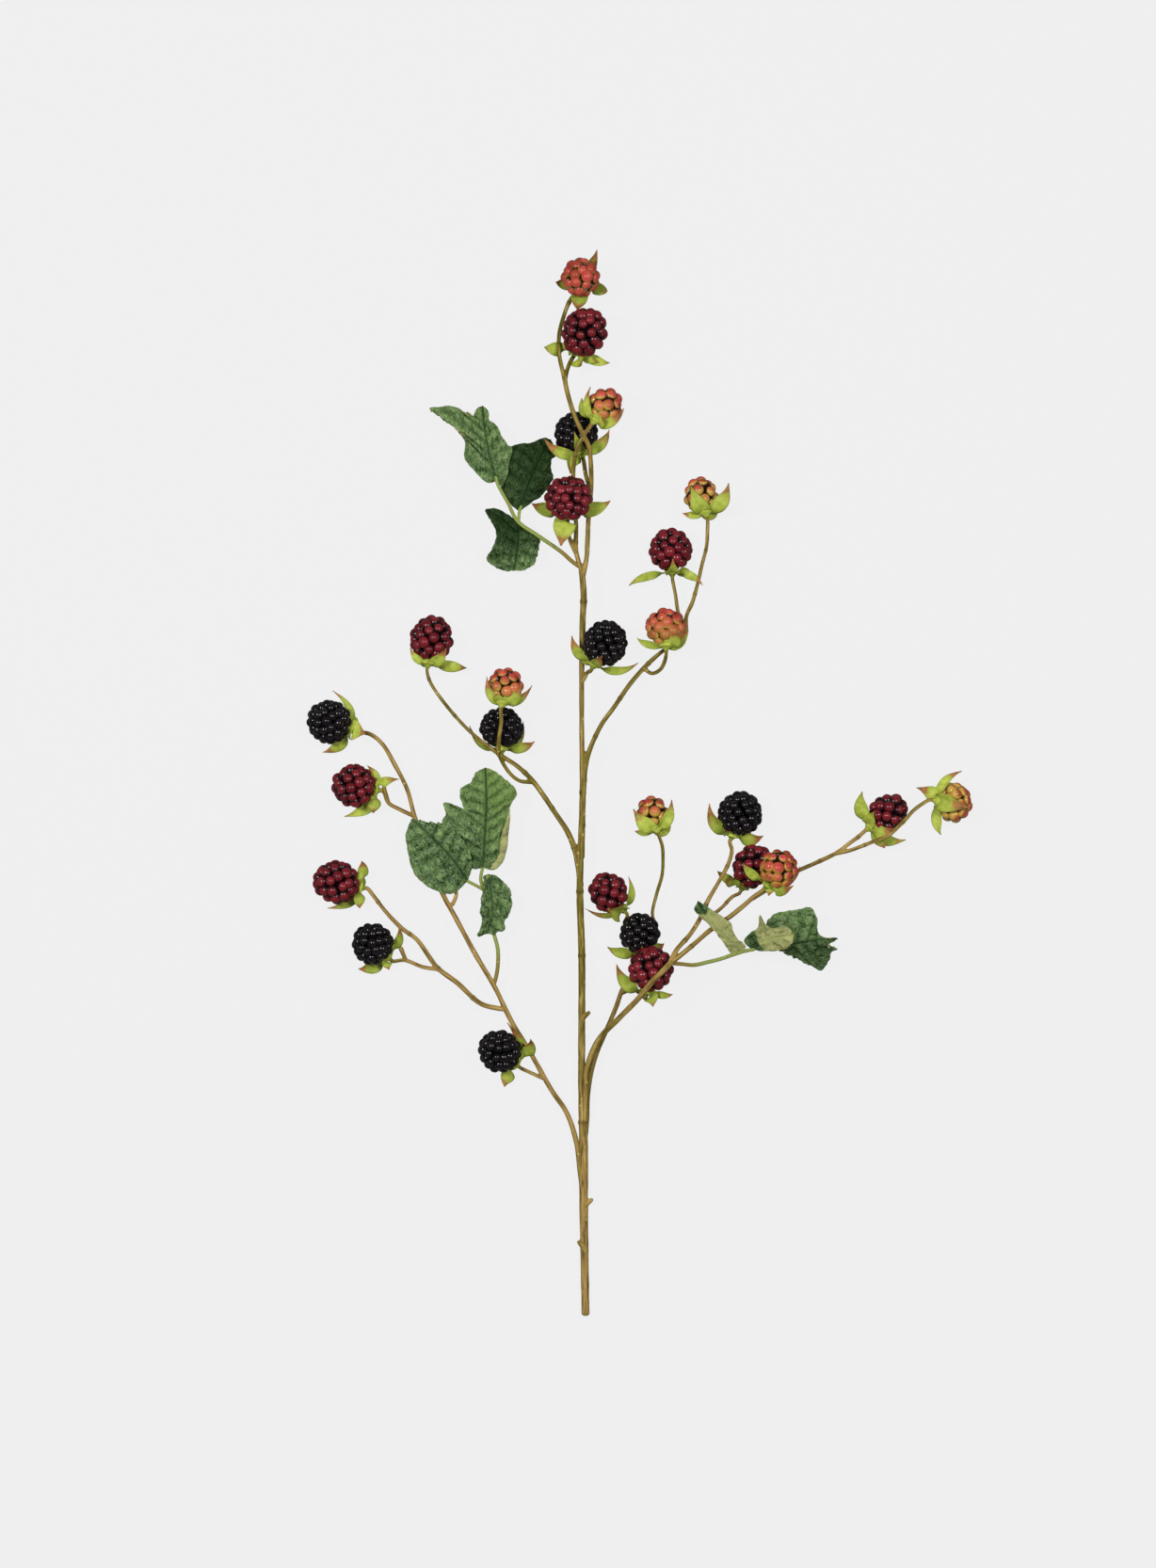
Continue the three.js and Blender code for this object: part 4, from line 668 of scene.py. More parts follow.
@dataclass
class Shell:
    """Collects the points, faces and point values of one piece, in the tables' millimetres.

    Args:
        points: The points of each surface in it.
        faces: The faces, by the numbers of their points.
        slots: The number of each face's material.
        values: The point values of each surface, by attribute name.
        count: How many points it has.
    """

    points: list[Array] = field(default_factory=list)
    faces: list[tuple[int, ...]] = field(default_factory=list)
    slots: list[int] = field(default_factory=list)
    values: dict[str, list[Array]] = field(default_factory=dict)
    count: int = 0

    def append(self, points: Array, faces: Sequence[tuple[int, ...]], slot: int = 0, **values: Array) -> None:
        """Adds a closed surface.

        Args:
            points: Its points, one row each.
            faces: Its faces, by row number.
            slot: The number of its material on the piece.
            **values: Point values by attribute name. A name that is new is 0 on what was there before.
        """
        for name in values.keys() - self.values.keys():
            self.values[name] = [np.zeros(self.count)]
        for name, known in self.values.items():
            known.append(np.asarray(values.get(name, np.zeros(len(points))), float))
        self.faces += [tuple(self.count + i for i in face) for face in faces]
        self.slots += [slot] * len(faces)
        self.points.append(points)
        self.count += len(points)

    def plate(self, top: Array, thick: Array, slot: int = 0, **values: Array) -> None:
        """Adds a thin plate whose top is a grid of points and whose underside lies below it.

        Args:
            top: Points by row and column. Rows crossed with columns point to the top side.
            thick: Thickness at each point.
            slot: The number of its material on the piece.
            **values: Values at each point of the grid. The value under is 1 on the underside.
        """
        rows, columns = top.shape[:2]
        normal = unit(np.cross(np.gradient(top, axis=0), np.gradient(top, axis=1)))
        under = top - normal * thick[..., None]
        size = rows * columns
        at = np.arange(size).reshape(rows, columns)
        a, b, c, d = at[:-1, :-1], at[1:, :-1], at[1:, 1:], at[:-1, 1:]
        faces = [*zip(a.flat, b.flat, c.flat, d.flat)]
        faces += [tuple(size + i for i in face[::-1]) for face in faces]
        rim = [*at[:, 0], *at[-1, 1:], *at[-2::-1, -1], *at[0, -2:0:-1]]
        for here, there in zip(rim, rim[1:] + rim[:1]):
            faces.append((there, here, size + here, size + there))
        flat = {name: np.tile(value.ravel(), 2) for name, value in values.items()}
        sides = np.abs(np.repeat([0.0, 1.0], size) - flat.pop("flipped", 0.0))
        self.append(np.vstack([top.reshape(-1, 3), under.reshape(-1, 3)]), faces, slot, under=sides, **flat)

    def tube(self, line: Array, sides: int = 10, slot: int = 0, **values: Array) -> None:
        """Adds a closed round tube with rounded ends.

        Args:
            line: The tube's middle line, each row x, y, z and radius.
            sides: Points round the tube.
            slot: The number of its material on the piece.
            **values: A value for each row of the line.
        """
        ahead = unit(np.gradient(line[:, :3], axis=0))
        side = np.cross(ahead[0], ASIDE)
        rings, spots = [], []
        angles = np.linspace(0, 2 * math.pi, sides, endpoint=False)
        for i, forward in enumerate(ahead):
            side = unit(side - forward * side.dot(forward))
            other = np.cross(forward, side)
            spread = np.outer(np.cos(angles), side) + np.outer(np.sin(angles), other)
            radius = line[i, 3]
            # Each end has one more ring, smaller and further out.
            steps = [(1.0, 0.0)]
            if i == 0:
                steps = [(0.55, -0.45), (1.0, 0.0)]
            if i == len(ahead) - 1:
                steps = [(1.0, 0.0), (0.55, 0.45)]
            for size, shift in steps:
                rings.append(line[i, :3] + forward * shift * radius + spread * radius * size)
                spots.append(i)
        faces = []
        for ring in range(len(rings) - 1):
            for k in range(sides):
                here, there = ring * sides + k, ring * sides + (k + 1) % sides
                faces.append((here, there, there + sides, here + sides))
        faces.append(tuple(range(sides))[::-1])
        faces.append(tuple(range((len(rings) - 1) * sides, len(rings) * sides)))
        flat = {name: np.repeat(np.asarray(value)[spots], sides) for name, value in values.items()}
        self.append(np.vstack(rings), faces, slot, **flat)

    def mesh(self, name: str) -> bpy.types.Mesh:
        """Makes the mesh, in metres and in the model's frame.

        Args:
            name: The mesh's name.

        Returns:
            The mesh.
        """
        mesh = bpy.data.meshes.new(name)
        points = np.vstack(self.points) * MM + np.array(ORIGIN)
        mesh.from_pydata(points.tolist(), [], self.faces)
        for value_name, parts in self.values.items():
            store(mesh, value_name, np.concatenate(parts))
        mesh.polygons.foreach_set("material_index", self.slots)
        mesh.shade_smooth()
        mesh.update()
        return mesh


def finished(name: str, mesh: bpy.types.Mesh, node: str) -> None:
    """Puts a finished mesh in the scene as a piece of the sprig.

    Args:
        name: The piece's name.
        mesh: Its mesh, in place.
        node: The model node that it stands for.
    """
    piece = placed(name, mesh)
    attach(piece, "root")
    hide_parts(node)
    log.info("%s: %d faces", name, len(mesh.polygons))


@dataclass(frozen=True)
class DrupeletSkin:
    """Skin of the drupelets: a thin waxed fruit skin over pulp, so it shines softly and lets a little light
    in. Painted shade darkens the creases between the drupelets, and each drupelet is a little different.

    Args:
        name: The material's name.
        painted_crease_shade: Colour of the painted shade deep between the drupelets, which also darkens the
            core in the gaps.
        foot: Colour of a drupelet's sides: the unripe berries' own yellow, and on the dark berries a darker
            colour that is painted shade.
        crown: Colour of a drupelet's top.
        blush: Colour of the tops of the brightest drupelets.
        young: Colour of the drupelets next to the calyx, which ripen last.
        young_share: How much of that colour they show.
        roughness: How matt the wax is.
        glow: Share of light that goes through the pulp.
        crown_edge: How far out of the gaps between drupelets a drupelet takes on its crown's colour, from 0
            to 1.
        sun: How much redder the side that faces the berry's tip is.
    """

    name: str
    painted_crease_shade: str
    foot: str
    crown: str
    blush: str
    young: str
    young_share: float
    roughness: float
    glow: float
    crown_edge: float = 0.35
    sun: float = 0.0

    def material(self) -> bpy.types.Material:
        """Makes the material.

        Returns:
            The material.
        """
        material, tree, read = new_material(self.name, "rise", "tipward", "tint", "sunny")
        rise, spot = read["rise"], read["spot"]
        # Clouding of the skin, about 2.2 mm across, and its shallow pits, about 0.55 mm across.
        cloud = add(tree, "ShaderNodeTexNoise", {"Vector": spot, "Scale": 0.45 / MM, "Detail": 3.0})
        pits = add(tree, "ShaderNodeTexNoise", {"Vector": spot, "Scale": 1.8 / MM, "Detail": 2.0})
        crown = coats(tree, self.crown, [
            (read["tint"], self.blush),
            ((cloud, 0.35, 0.75, 0.0, 0.3), self.foot),
            ((read["tipward"], 0.65, 0.15, 0.0, self.young_share), self.young),
        ])
        # The side of a drupelet that faces the berry's tip has had more sun.
        sun = add(tree, "ShaderNodeMath", {0: read["sunny"], 1: self.sun, 2: rise}, operation="MULTIPLY_ADD")
        # The first span picks a drupelet's top over its sides; the second marks the painted shade deep in the
        # gaps between drupelets.
        spans = ((sun, self.crown_edge, self.crown_edge + 0.4), (rise, 0.05, 0.5))
        up, gap_shade = (
            add(tree, "ShaderNodeMapRange", dict(zip(("Value", 1, 2), span)), interpolation_type="SMOOTHSTEP")
            for span in spans
        )
        # The sides keep the foot colour: the unripe berries' own yellow, and painted shade on the dark
        # berries.
        body = coats(tree, self.foot, [(up, crown)])
        rough = {"Value": cloud, 1: 0.3, 2: 0.7, 3: self.roughness * 0.8, 4: self.roughness * 1.3}
        surface(tree, coats(tree, self.painted_crease_shade, [(gap_shade, body)]), (pits, 0.12, 0.15 * MM), {
            "Roughness": add(tree, "ShaderNodeMapRange", rough),
            "IOR": 1.4,
            "Subsurface Weight": self.glow,
            "Subsurface Radius": (1.2 * MM, 0.5 * MM, 0.3 * MM),
            "Subsurface Scale": 1.0,
            "Specular IOR Level": 0.32,
            "Coat Weight": 0.3,
            "Coat Roughness": 0.09,
        })
        return material


@dataclass(frozen=True)
class LeafSkin:
    """Bramble leaf blade: matt crinkled tissue, frosted in clouds, with painted shade along the midrib and
    the side veins, painted light and shade on the wrinkles between them, and a pale felted underside.

    Args:
        veins: Distance between the side veins, in millimetres.
    """

    veins: float = 6.0

    def material(self) -> bpy.types.Material:
        """Makes the material.

        Returns:
            The material.
        """
        names = ("phase", "reach", "fade", "midrib", "margin", "under", "tone")
        material, tree, read = new_material("bramble_leaf_blade", *names)
        read |= self.tissue(tree, read["spot"])
        read |= self.network(tree, read)
        height = 0.0
        for part, share in (("grain", 0.6), ("net", 1.4), ("vein", -0.6)):
            terms = {0: read[part], 1: share, 2: height}
            height = add(tree, "ShaderNodeMath", terms, operation="MULTIPLY_ADD")
        colour = coats(tree, self.upper(tree, read), [(read["under"], self.felt(tree, read))])
        matt = {"Roughness": 0.6, "IOR": 1.4, "Specular IOR Level": 0.12}
        surface(tree, colour, (height, 0.85, 0.6 * MM), matt)
        return material

    def tissue(self, tree: bpy.types.NodeTree, spot: Feed) -> dict[str, bpy.types.Node]:
        """Adds the patterns of the tissue itself.

        Args:
            tree: The material's tree.
            spot: The place in metres.

        Returns:
            Frosting in clouds about 5 mm across, and the grains of about 0.9 mm that break it up.
        """
        sizes = (
            ("patch", {"Scale": 0.21 / MM, "Detail": 4.0, "Roughness": 0.64}),
            ("grain", {"Scale": 1.1 / MM, "Detail": 3.0, "Roughness": 0.7}),
        )
        return {name: add(tree, "ShaderNodeTexNoise", {"Vector": spot, **size}) for name, size in sizes}

    def network(self, tree: bpy.types.NodeTree, read: dict[str, Feed]) -> dict[str, bpy.types.Node]:
        """Adds the patterns of the side veins and of the net between them.

        Args:
            tree: The material's tree.
            read: What the patterns read.

        Returns:
            The veins, the painted shade in the valleys around them, the net, whose ridges are about 1.4 mm
            apart and run from vein to vein, and how far the net is from the crests between its dents.
        """
        lattice = add(tree, "ShaderNodeCombineXYZ", {0: read["phase"], 1: read["reach"]})
        lattice = add(tree, "ShaderNodeVectorMath", {0: lattice, 1: (2.0, 0.7, 0.0)}, operation="MULTIPLY")
        weave = {"Vector": lattice, "Scale": 1.0, "Detail": 2.0, "Distortion": 0.9}
        net = add(tree, "ShaderNodeTexNoise", weave)
        # Near the middle of the net lie its crests, which take painted highlights.
        crest_highlight = add(tree, "ShaderNodeMath", {0: net, 1: 0.5}, operation="SUBTRACT")
        crest_highlight = add(tree, "ShaderNodeMath", {0: crest_highlight}, operation="ABSOLUTE")
        found = {"net": net, "crest_highlight": crest_highlight}
        from_vein = add(tree, "ShaderNodeMath", {0: read["phase"], 1: 0.5}, operation="PINGPONG")
        lane = self.veins * VEIN_SLANT
        # The wider band round each side vein is painted shade in its valley.
        for name, near, far in (("vein", 0.05, 0.5), ("vein_valley_shade", 0.0, 1.8)):
            ends = {"Value": from_vein, 1: near / lane, 2: far / lane, 3: 1.0, 4: 0.0}
            share = add(tree, "ShaderNodeMapRange", ends)
            found[name] = add(tree, "ShaderNodeMath", {0: share, 1: read["fade"]}, operation="MULTIPLY")
        return found

    def upper(self, tree: bpy.types.NodeTree, read: dict[str, Feed]) -> bpy.types.Node:
        """Paints the upper side.

        Args:
            tree: The material's tree.
            read: What the coats read. The net is painted lighter on its ridges and darker in its dents,
                with painted highlights on its crests.

        Returns:
            The node that gives the colour.
        """
        return coats(tree, "#183810", [
            ((read["patch"], 0.42, 0.63), "#779854"),
            ((read["grain"], 0.48, 0.68, 0.0, 0.8), "#9bb482"),
            ((read["grain"], 0.33, 0.5, 0.8, 0.0), "#1a3610"),
            # Painted light and shade on the wrinkle net: lighter on its ridges, painted highlights on its
            # crests, darker in its dents.
            ((read["net"], 0.5, 0.66, 0.0, 0.4), "#92ab7a"),
            ((read["crest_highlight"], 0.0, 0.05, 0.6, 0.0), "#a2ba86"),
            ((read["net"], 0.34, 0.5, 0.5, 0.0), "#1a3710"),
            ((read["tone"], 0.0, 1.0, 0.0, 0.65), "#84a050"),
            # Painted shade in the valleys along the side veins.
            ((read["vein_valley_shade"], 0.0, 1.0, 0.0, 0.5), "#224219"),
            ((read["vein"], 0.0, 1.0, 0.0, 0.15), "#1d3616"),
            # A dark line along the midrib, with a painted shadow beside it.
            (read["midrib"], "#1c3816"),
            ((read["margin"], 0.0, 1.0, 0.0, 0.35), "#86a35f"),
            ((read["tone"], 0.0, -1.0, 0.0, 0.86), "#122a0a"),
        ])

    def felt(self, tree: bpy.types.NodeTree, read: dict[str, Feed]) -> bpy.types.Node:
        """Paints the felted underside.

        Args:
            tree: The material's tree.
            read: What the coats read.

        Returns:
            The node that gives the colour.
        """
        return coats(tree, "#9a9d62", [
            ((read["patch"], 0.36, 0.66), "#b9b97e"),
            ((read["net"], 0.35, 0.5, 0.2, 0.0), "#7d8549"),
            ((read["vein"], 0.0, 1.0, 0.0, 0.2), "#858c4d"),
            ((read["tone"], 0.0, -1.0, 0.0, 0.6), "#6f7a45"),
            (read["midrib"], "#aab06c"),
        ])


@dataclass(frozen=True)
class SepalSkin:
    """Sepal tissue: soft yellow-green blades with darker bases, browned at their dry tips."""

    def material(self) -> bpy.types.Material:
        """Makes the material.

        Returns:
            The material.
        """
        material, tree, read = new_material("bramble_sepal_tissue", "brown", "shade", "edge")
        # Blotches about 3 mm across, and grain about 0.7 mm across.
        patch = add(tree, "ShaderNodeTexNoise", {"Vector": read["spot"], "Scale": 0.33 / MM, "Detail": 4.0})
        grain = add(tree, "ShaderNodeTexNoise", {"Vector": read["spot"], "Scale": 1.5 / MM, "Detail": 2.0})
        light = add(tree, "ShaderNodeMapRange", {"Value": patch, 1: 0.35, 2: 0.65})
        # The brown creeps down from the tip in an uneven line.
        reach = add(tree, "ShaderNodeMath", {0: patch, 1: 0.9, 2: read["brown"]}, operation="MULTIPLY_ADD")
        line = {"Value": reach, 1: 0.95, 2: 1.25}
        rust = add(tree, "ShaderNodeMapRange", line, interpolation_type="SMOOTHSTEP")
        colour = coats(tree, "#a3b13c", [
            (light, "#c9d45a"),
            (read["shade"], "#76892c"),
            (rust, coats(tree, "#744724", [(light, "#b27a42")])),
            ((read["edge"], 0.0, 1.0, 0.0, 0.35), "#77862c"),
        ])
        soft = {"Roughness": 0.58, "IOR": 1.4, "Specular IOR Level": 0.35}
        surface(tree, colour, (grain, 0.35, 0.3 * MM), soft)
        return material


@dataclass(frozen=True)
class StemBark:
    """Young bramble bark: thin fibrous skin, olive where it is fresh and browner where it has aged,
    with long streaks, scars at its joints and a scatter of pale flecks.

    Args:
        name: The material's name.
        aged: Colour of the brown bark.
        fresh: Colour of the green bark.
        dark: Colour of the streaks.
        pale: Colour of the worn ridges and flecks.
    """

    name: str
    aged: str
    fresh: str
    dark: str
    pale: str

    def material(self) -> bpy.types.Material:
        """Makes the material.

        Returns:
            The material.
        """
        material, tree, read = new_material(self.name, "tone", "ring", "cut")
        course = add(tree, "ShaderNodeAttribute", attribute_name="course").outputs["Vector"]
        # Streaks about 0.9 mm wide and ten times as long: course is in millimetres, squeezed lengthways.
        streak = add(tree, "ShaderNodeTexNoise", {"Vector": course, "Scale": 1.1, "Detail": 3.0})
        # Slow changes of tone, about 15 mm long, and grain about 0.7 mm across.
        drift = add(tree, "ShaderNodeTexNoise", {"Vector": read["spot"], "Scale": 0.065 / MM, "Detail": 2.0})
        grain = add(tree, "ShaderNodeTexNoise", {"Vector": read["spot"], "Scale": 1.5 / MM, "Detail": 2.0})
        # Flecks about 5 mm apart.
        fleck = add(tree, "ShaderNodeTexVoronoi", {"Vector": read["spot"], "Scale": 0.19 / MM})
        wander = add(tree, "ShaderNodeMapRange", {"Value": drift, 1: 0.3, 2: 0.7, 3: -0.3, 4: 0.3})
        tone = add(tree, "ShaderNodeMath", {0: read["tone"], 1: wander}, operation="ADD", use_clamp=True)
        colour = coats(tree, self.aged, [
            (tone, self.fresh),
            ((streak, 0.36, 0.5, 0.75, 0.0), self.dark),
            ((streak, 0.54, 0.68, 0.0, 0.7), self.pale),
            ((fleck, 0.1, 0.16, 0.8, 0.0), self.pale),
            ((read["ring"], 0.0, 1.0, 0.0, 0.7), self.dark),
            (read["cut"], "#c9bd86"),
        ])
        height = add(tree, "ShaderNodeMath", {0: streak, 1: grain}, operation="ADD")
        dull = {"Roughness": 0.55, "IOR": 1.45, "Specular IOR Level": 0.18}
        surface(tree, colour, (height, 0.5, 0.3 * MM), dull)
        return material


class DrupeletTree:
    """The Geometry Nodes tree that packs drupelets in a spiral round a berry's core."""

    INPUTS = (
        ("Half Width", "NodeSocketFloat"),
        ("Half Length", "NodeSocketFloat"),
        ("Drupelets", "NodeSocketInt"),
        ("Drupelet Radius", "NodeSocketFloat"),
        ("Unevenness", "NodeSocketFloat"),
        ("Redness", "NodeSocketFloat"),
        ("Seed", "NodeSocketInt"),
        ("Skin", "NodeSocketMaterial"),
    )
    DRUPELET_MESH = {"Segments": 12, "Rings": 8}
    CORE_MESH = {"Segments": 24, "Rings": 16, "Radius": 1.0}
    SMALLEST, LARGEST = 0.97, 1.17
    TALLER = 1.06

    def __init__(self) -> None:
        """Builds the tree."""
        self.tree = bpy.data.node_groups.new("packed_drupelets", "GeometryNodeTree")
        face = self.tree.interface
        self.sockets = {
            name: face.new_socket(name, in_out="INPUT", socket_type=kind).identifier
            for name, kind in self.INPUTS
        }
        face.new_socket("Geometry", in_out="OUTPUT", socket_type="NodeSocketGeometry")
        self.make = partial(add, self.tree)
        self.given = self.make("NodeGroupInput").outputs
        self.finish(self.drupelets(self.spiral()))

    def ellipsoid(self, inset: float, narrow: Feed = 1.0) -> bpy.types.Node:
        """Half the sizes of an ellipsoid inside the berry.

        Args:
            inset: How far under the berry's surface it lies, as a share of a drupelet's radius.
            narrow: What its width is multiplied by.

        Returns:
            The node that gives the sizes as a vector.
        """
        radius = self.given["Drupelet Radius"]
        depth = self.make("ShaderNodeMath", {0: radius, 1: inset}, operation="MULTIPLY")
        half, length = (
            self.make("ShaderNodeMath", {0: self.given[name], 1: depth}, operation="SUBTRACT")
            for name in ("Half Width", "Half Length")
        )
        half = self.make("ShaderNodeMath", {0: half, 1: narrow}, operation="MULTIPLY")
        return self.make("ShaderNodeCombineXYZ", {0: half, 1: half, 2: length})

    def spiral(self) -> bpy.types.Node:
        """Lays one point for each drupelet on the core, and stores which way is outward from it.

        Returns:
            The node that gives the points.
        """
        make, given = self.make, self.given
        index = make("GeometryNodeInputIndex")
        middle = make("ShaderNodeMath", {0: index, 1: 0.5}, operation="ADD")
        share = make("ShaderNodeMath", {0: middle, 1: given["Drupelets"]}, operation="DIVIDE")
        height = make("ShaderNodeMath", {0: share, 1: -2.0, 2: 1.0}, operation="MULTIPLY_ADD")
        square = make("ShaderNodeMath", {0: height, 1: height}, operation="MULTIPLY")
        rest = make("ShaderNodeMath", {0: 1.0, 1: square}, operation="SUBTRACT")
        girth = make("ShaderNodeMath", {0: rest}, operation="SQRT")
        turn = make("ShaderNodeMath", {0: index, 1: GOLDEN_ANGLE, 2: given["Seed"]}, operation="MULTIPLY_ADD")
        waves = (make("ShaderNodeMath", {0: turn}, operation=wave) for wave in ("COSINE", "SINE"))
        across, along = (make("ShaderNodeMath", {0: girth, 1: wave}, operation="MULTIPLY") for wave in waves)
        way = make("ShaderNodeCombineXYZ", {0: across, 1: along, 2: height})
        least = make("ShaderNodeMath", {0: given["Unevenness"], 1: -1.0}, operation="MULTIPLY")
        bounds = {"Min": least, "Max": given["Unevenness"], "Seed": given["Seed"]}
        shake = make("FunctionNodeRandomValue", bounds, data_type="FLOAT_VECTOR")
        moved = make("ShaderNodeVectorMath", {0: way, 1: shake}, operation="ADD")
        outward = make("ShaderNodeVectorMath", {0: moved}, operation="NORMALIZE")
        # The berry is a little fuller towards its calyx.
        tall = make("ShaderNodeSeparateXYZ", {0: outward}).outputs[2]
        taper = make("ShaderNodeMath", {0: tall, 1: -0.09, 2: 0.991}, operation="MULTIPLY_ADD")
        sizes = self.ellipsoid(1.0, taper)
        place = make("ShaderNodeVectorMath", {0: outward, 1: sizes}, operation="MULTIPLY")
        points = make("GeometryNodePoints", {"Count": given["Drupelets"], "Position": place})
        stored = {"Geometry": points, "Name": "outward", "Value": outward}
        return make("GeometryNodeStoreNamedAttribute", stored, data_type="FLOAT_VECTOR", domain="POINT")

    def drupelets(self, points: bpy.types.Node) -> bpy.types.Node:
        """Sets a drupelet on each point, with the core under them.

        Args:
            points: The node that gives the points.

        Returns:
            The node that gives the berry's geometry.
        """
        make, given = self.make, self.given
        outward = make("GeometryNodeInputNamedAttribute", {"Name": "outward"}, data_type="FLOAT_VECTOR")
        turn = make("FunctionNodeAlignRotationToVector", {"Vector": outward}, axis="Z")
        ball = make("GeometryNodeMeshUVSphere", {**self.DRUPELET_MESH, "Radius": given["Drupelet Radius"]})
        seeds = (make("ShaderNodeMath", {0: given["Seed"], 1: shift}, operation="ADD") for shift in (7, 3))
        size, tint = (
            make("FunctionNodeRandomValue", {2: low, 3: high, "Seed": seed})
            for low, high, seed in zip((self.SMALLEST, 0.0), (self.LARGEST, 1.0), seeds)
        )
        height = make("ShaderNodeMath", {0: size, 1: self.TALLER}, operation="MULTIPLY")
        scale = make("ShaderNodeCombineXYZ", {0: size, 1: size, 2: height})
        balls = {"Points": points, "Instance": ball, "Rotation": turn, "Scale": scale}
        tinted = {"Geometry": make("GeometryNodeInstanceOnPoints", balls), "Name": "tint", "Value": tint}
        balls = make("GeometryNodeStoreNamedAttribute", tinted, data_type="FLOAT", domain="INSTANCE")
        real = make("GeometryNodeRealizeInstances", {"Geometry": balls})
        # The core lies deep in the gaps between the drupelets and takes the skin's painted shade there.
        core = make("GeometryNodeMeshUVSphere", self.CORE_MESH)
        core = make("GeometryNodeTransform", {"Geometry": core, "Scale": self.ellipsoid(1.25)})
        whole = make("GeometryNodeJoinGeometry", {0: real})
        self.tree.links.new(core.outputs[0], whole.inputs[0])
        return whole

    def finish(self, fruit: bpy.types.Node) -> None:
        """Stores where each point lies on the berry, smooths the faces and sets the material.

        Args:
            fruit: The node that gives the berry's geometry.
        """
        make, given = self.make, self.given
        place = make("GeometryNodeInputPosition")
        share = make("ShaderNodeVectorMath", {0: place, 1: self.ellipsoid(0.0)}, operation="DIVIDE")
        out = make("ShaderNodeVectorMath", {0: share}, operation="LENGTH")
        tall, towards = (
            make("ShaderNodeSeparateXYZ", {0: vector}).outputs[2]
            for vector in (share, make("GeometryNodeInputNormal"))
        )
        for name, value in (
            ("rise", make("ShaderNodeMapRange", {"Value": out, 1: 0.83, 2: 1.01})),
            ("tipward", make("ShaderNodeMath", {0: tall, 1: 0.5, 2: 0.5}, operation="MULTIPLY_ADD")),
            ("sunny", make("ShaderNodeMath", {0: towards, 1: given["Redness"]}, operation="ADD")),
        ):
            stored = {"Geometry": fruit, "Name": name, "Value": value}
            fruit = make("GeometryNodeStoreNamedAttribute", stored, data_type="FLOAT", domain="POINT")
        fruit = make("GeometryNodeSetShadeSmooth", {"Geometry": fruit})
        fruit = make("GeometryNodeSetMaterial", {"Geometry": fruit, "Material": given["Skin"]})
        make("NodeGroupOutput", {0: fruit})

    def grow(self, name: str, **values: float | bpy.types.Material) -> bpy.types.Mesh:
        """Runs the tree with its inputs.

        Args:
            name: The mesh's name.
            **values: A value for each of the tree's inputs, by its name in lower case.

        Returns:
            The result as a plain mesh.
        """
        carrier = bpy.data.objects.new(name, bpy.data.meshes.new(name))
        bpy.context.scene.collection.objects.link(carrier)
        modifier = carrier.modifiers.new("drupelets", "NODES")
        modifier.node_group = self.tree
        for key, value in values.items():
            modifier[self.sockets[key.replace("_", " ").title()]] = value
        return plain_mesh(carrier)


@dataclass(frozen=True)
class Fruiting:
    """How berries of one ripeness look: the radius of their drupelets, and their skin."""

    drupelet: float
    skin: DrupeletSkin


# Each skin's first colour is the painted shade deep between the drupelets.
FRUITING = {
    Ripeness.BLACK: Fruiting(2.72, DrupeletSkin(
        "ripe_drupelet_skin", "#020102", "#060406", "#0d0a0d", "#1a1519", "#1c0c14", 0.5,
        roughness=0.22, glow=0.0,
    )),
    Ripeness.BURGUNDY: Fruiting(3.05, DrupeletSkin(
        "reddening_drupelet_skin", "#140306", "#3a0810", "#68121c", "#8e252e", "#6a121d", 0.4,
        roughness=0.3, glow=0.04,
    )),
    Ripeness.RED: Fruiting(3.05, DrupeletSkin(
        "red_drupelet_skin", "#2c0e04", "#c8963f", "#9c1b27", "#d24c4a", "#c69040", 0.2,
        roughness=0.34, glow=0.05, crown_edge=0.42, sun=0.55,
    )),
    Ripeness.ORANGE: Fruiting(3.1, DrupeletSkin(
        "green_drupelet_skin", "#2c1004", "#cda64a", "#981824", "#d84e4a", "#cfb452", 0.3,
        roughness=0.34, glow=0.05, crown_edge=0.45, sun=0.7,
    )),
}


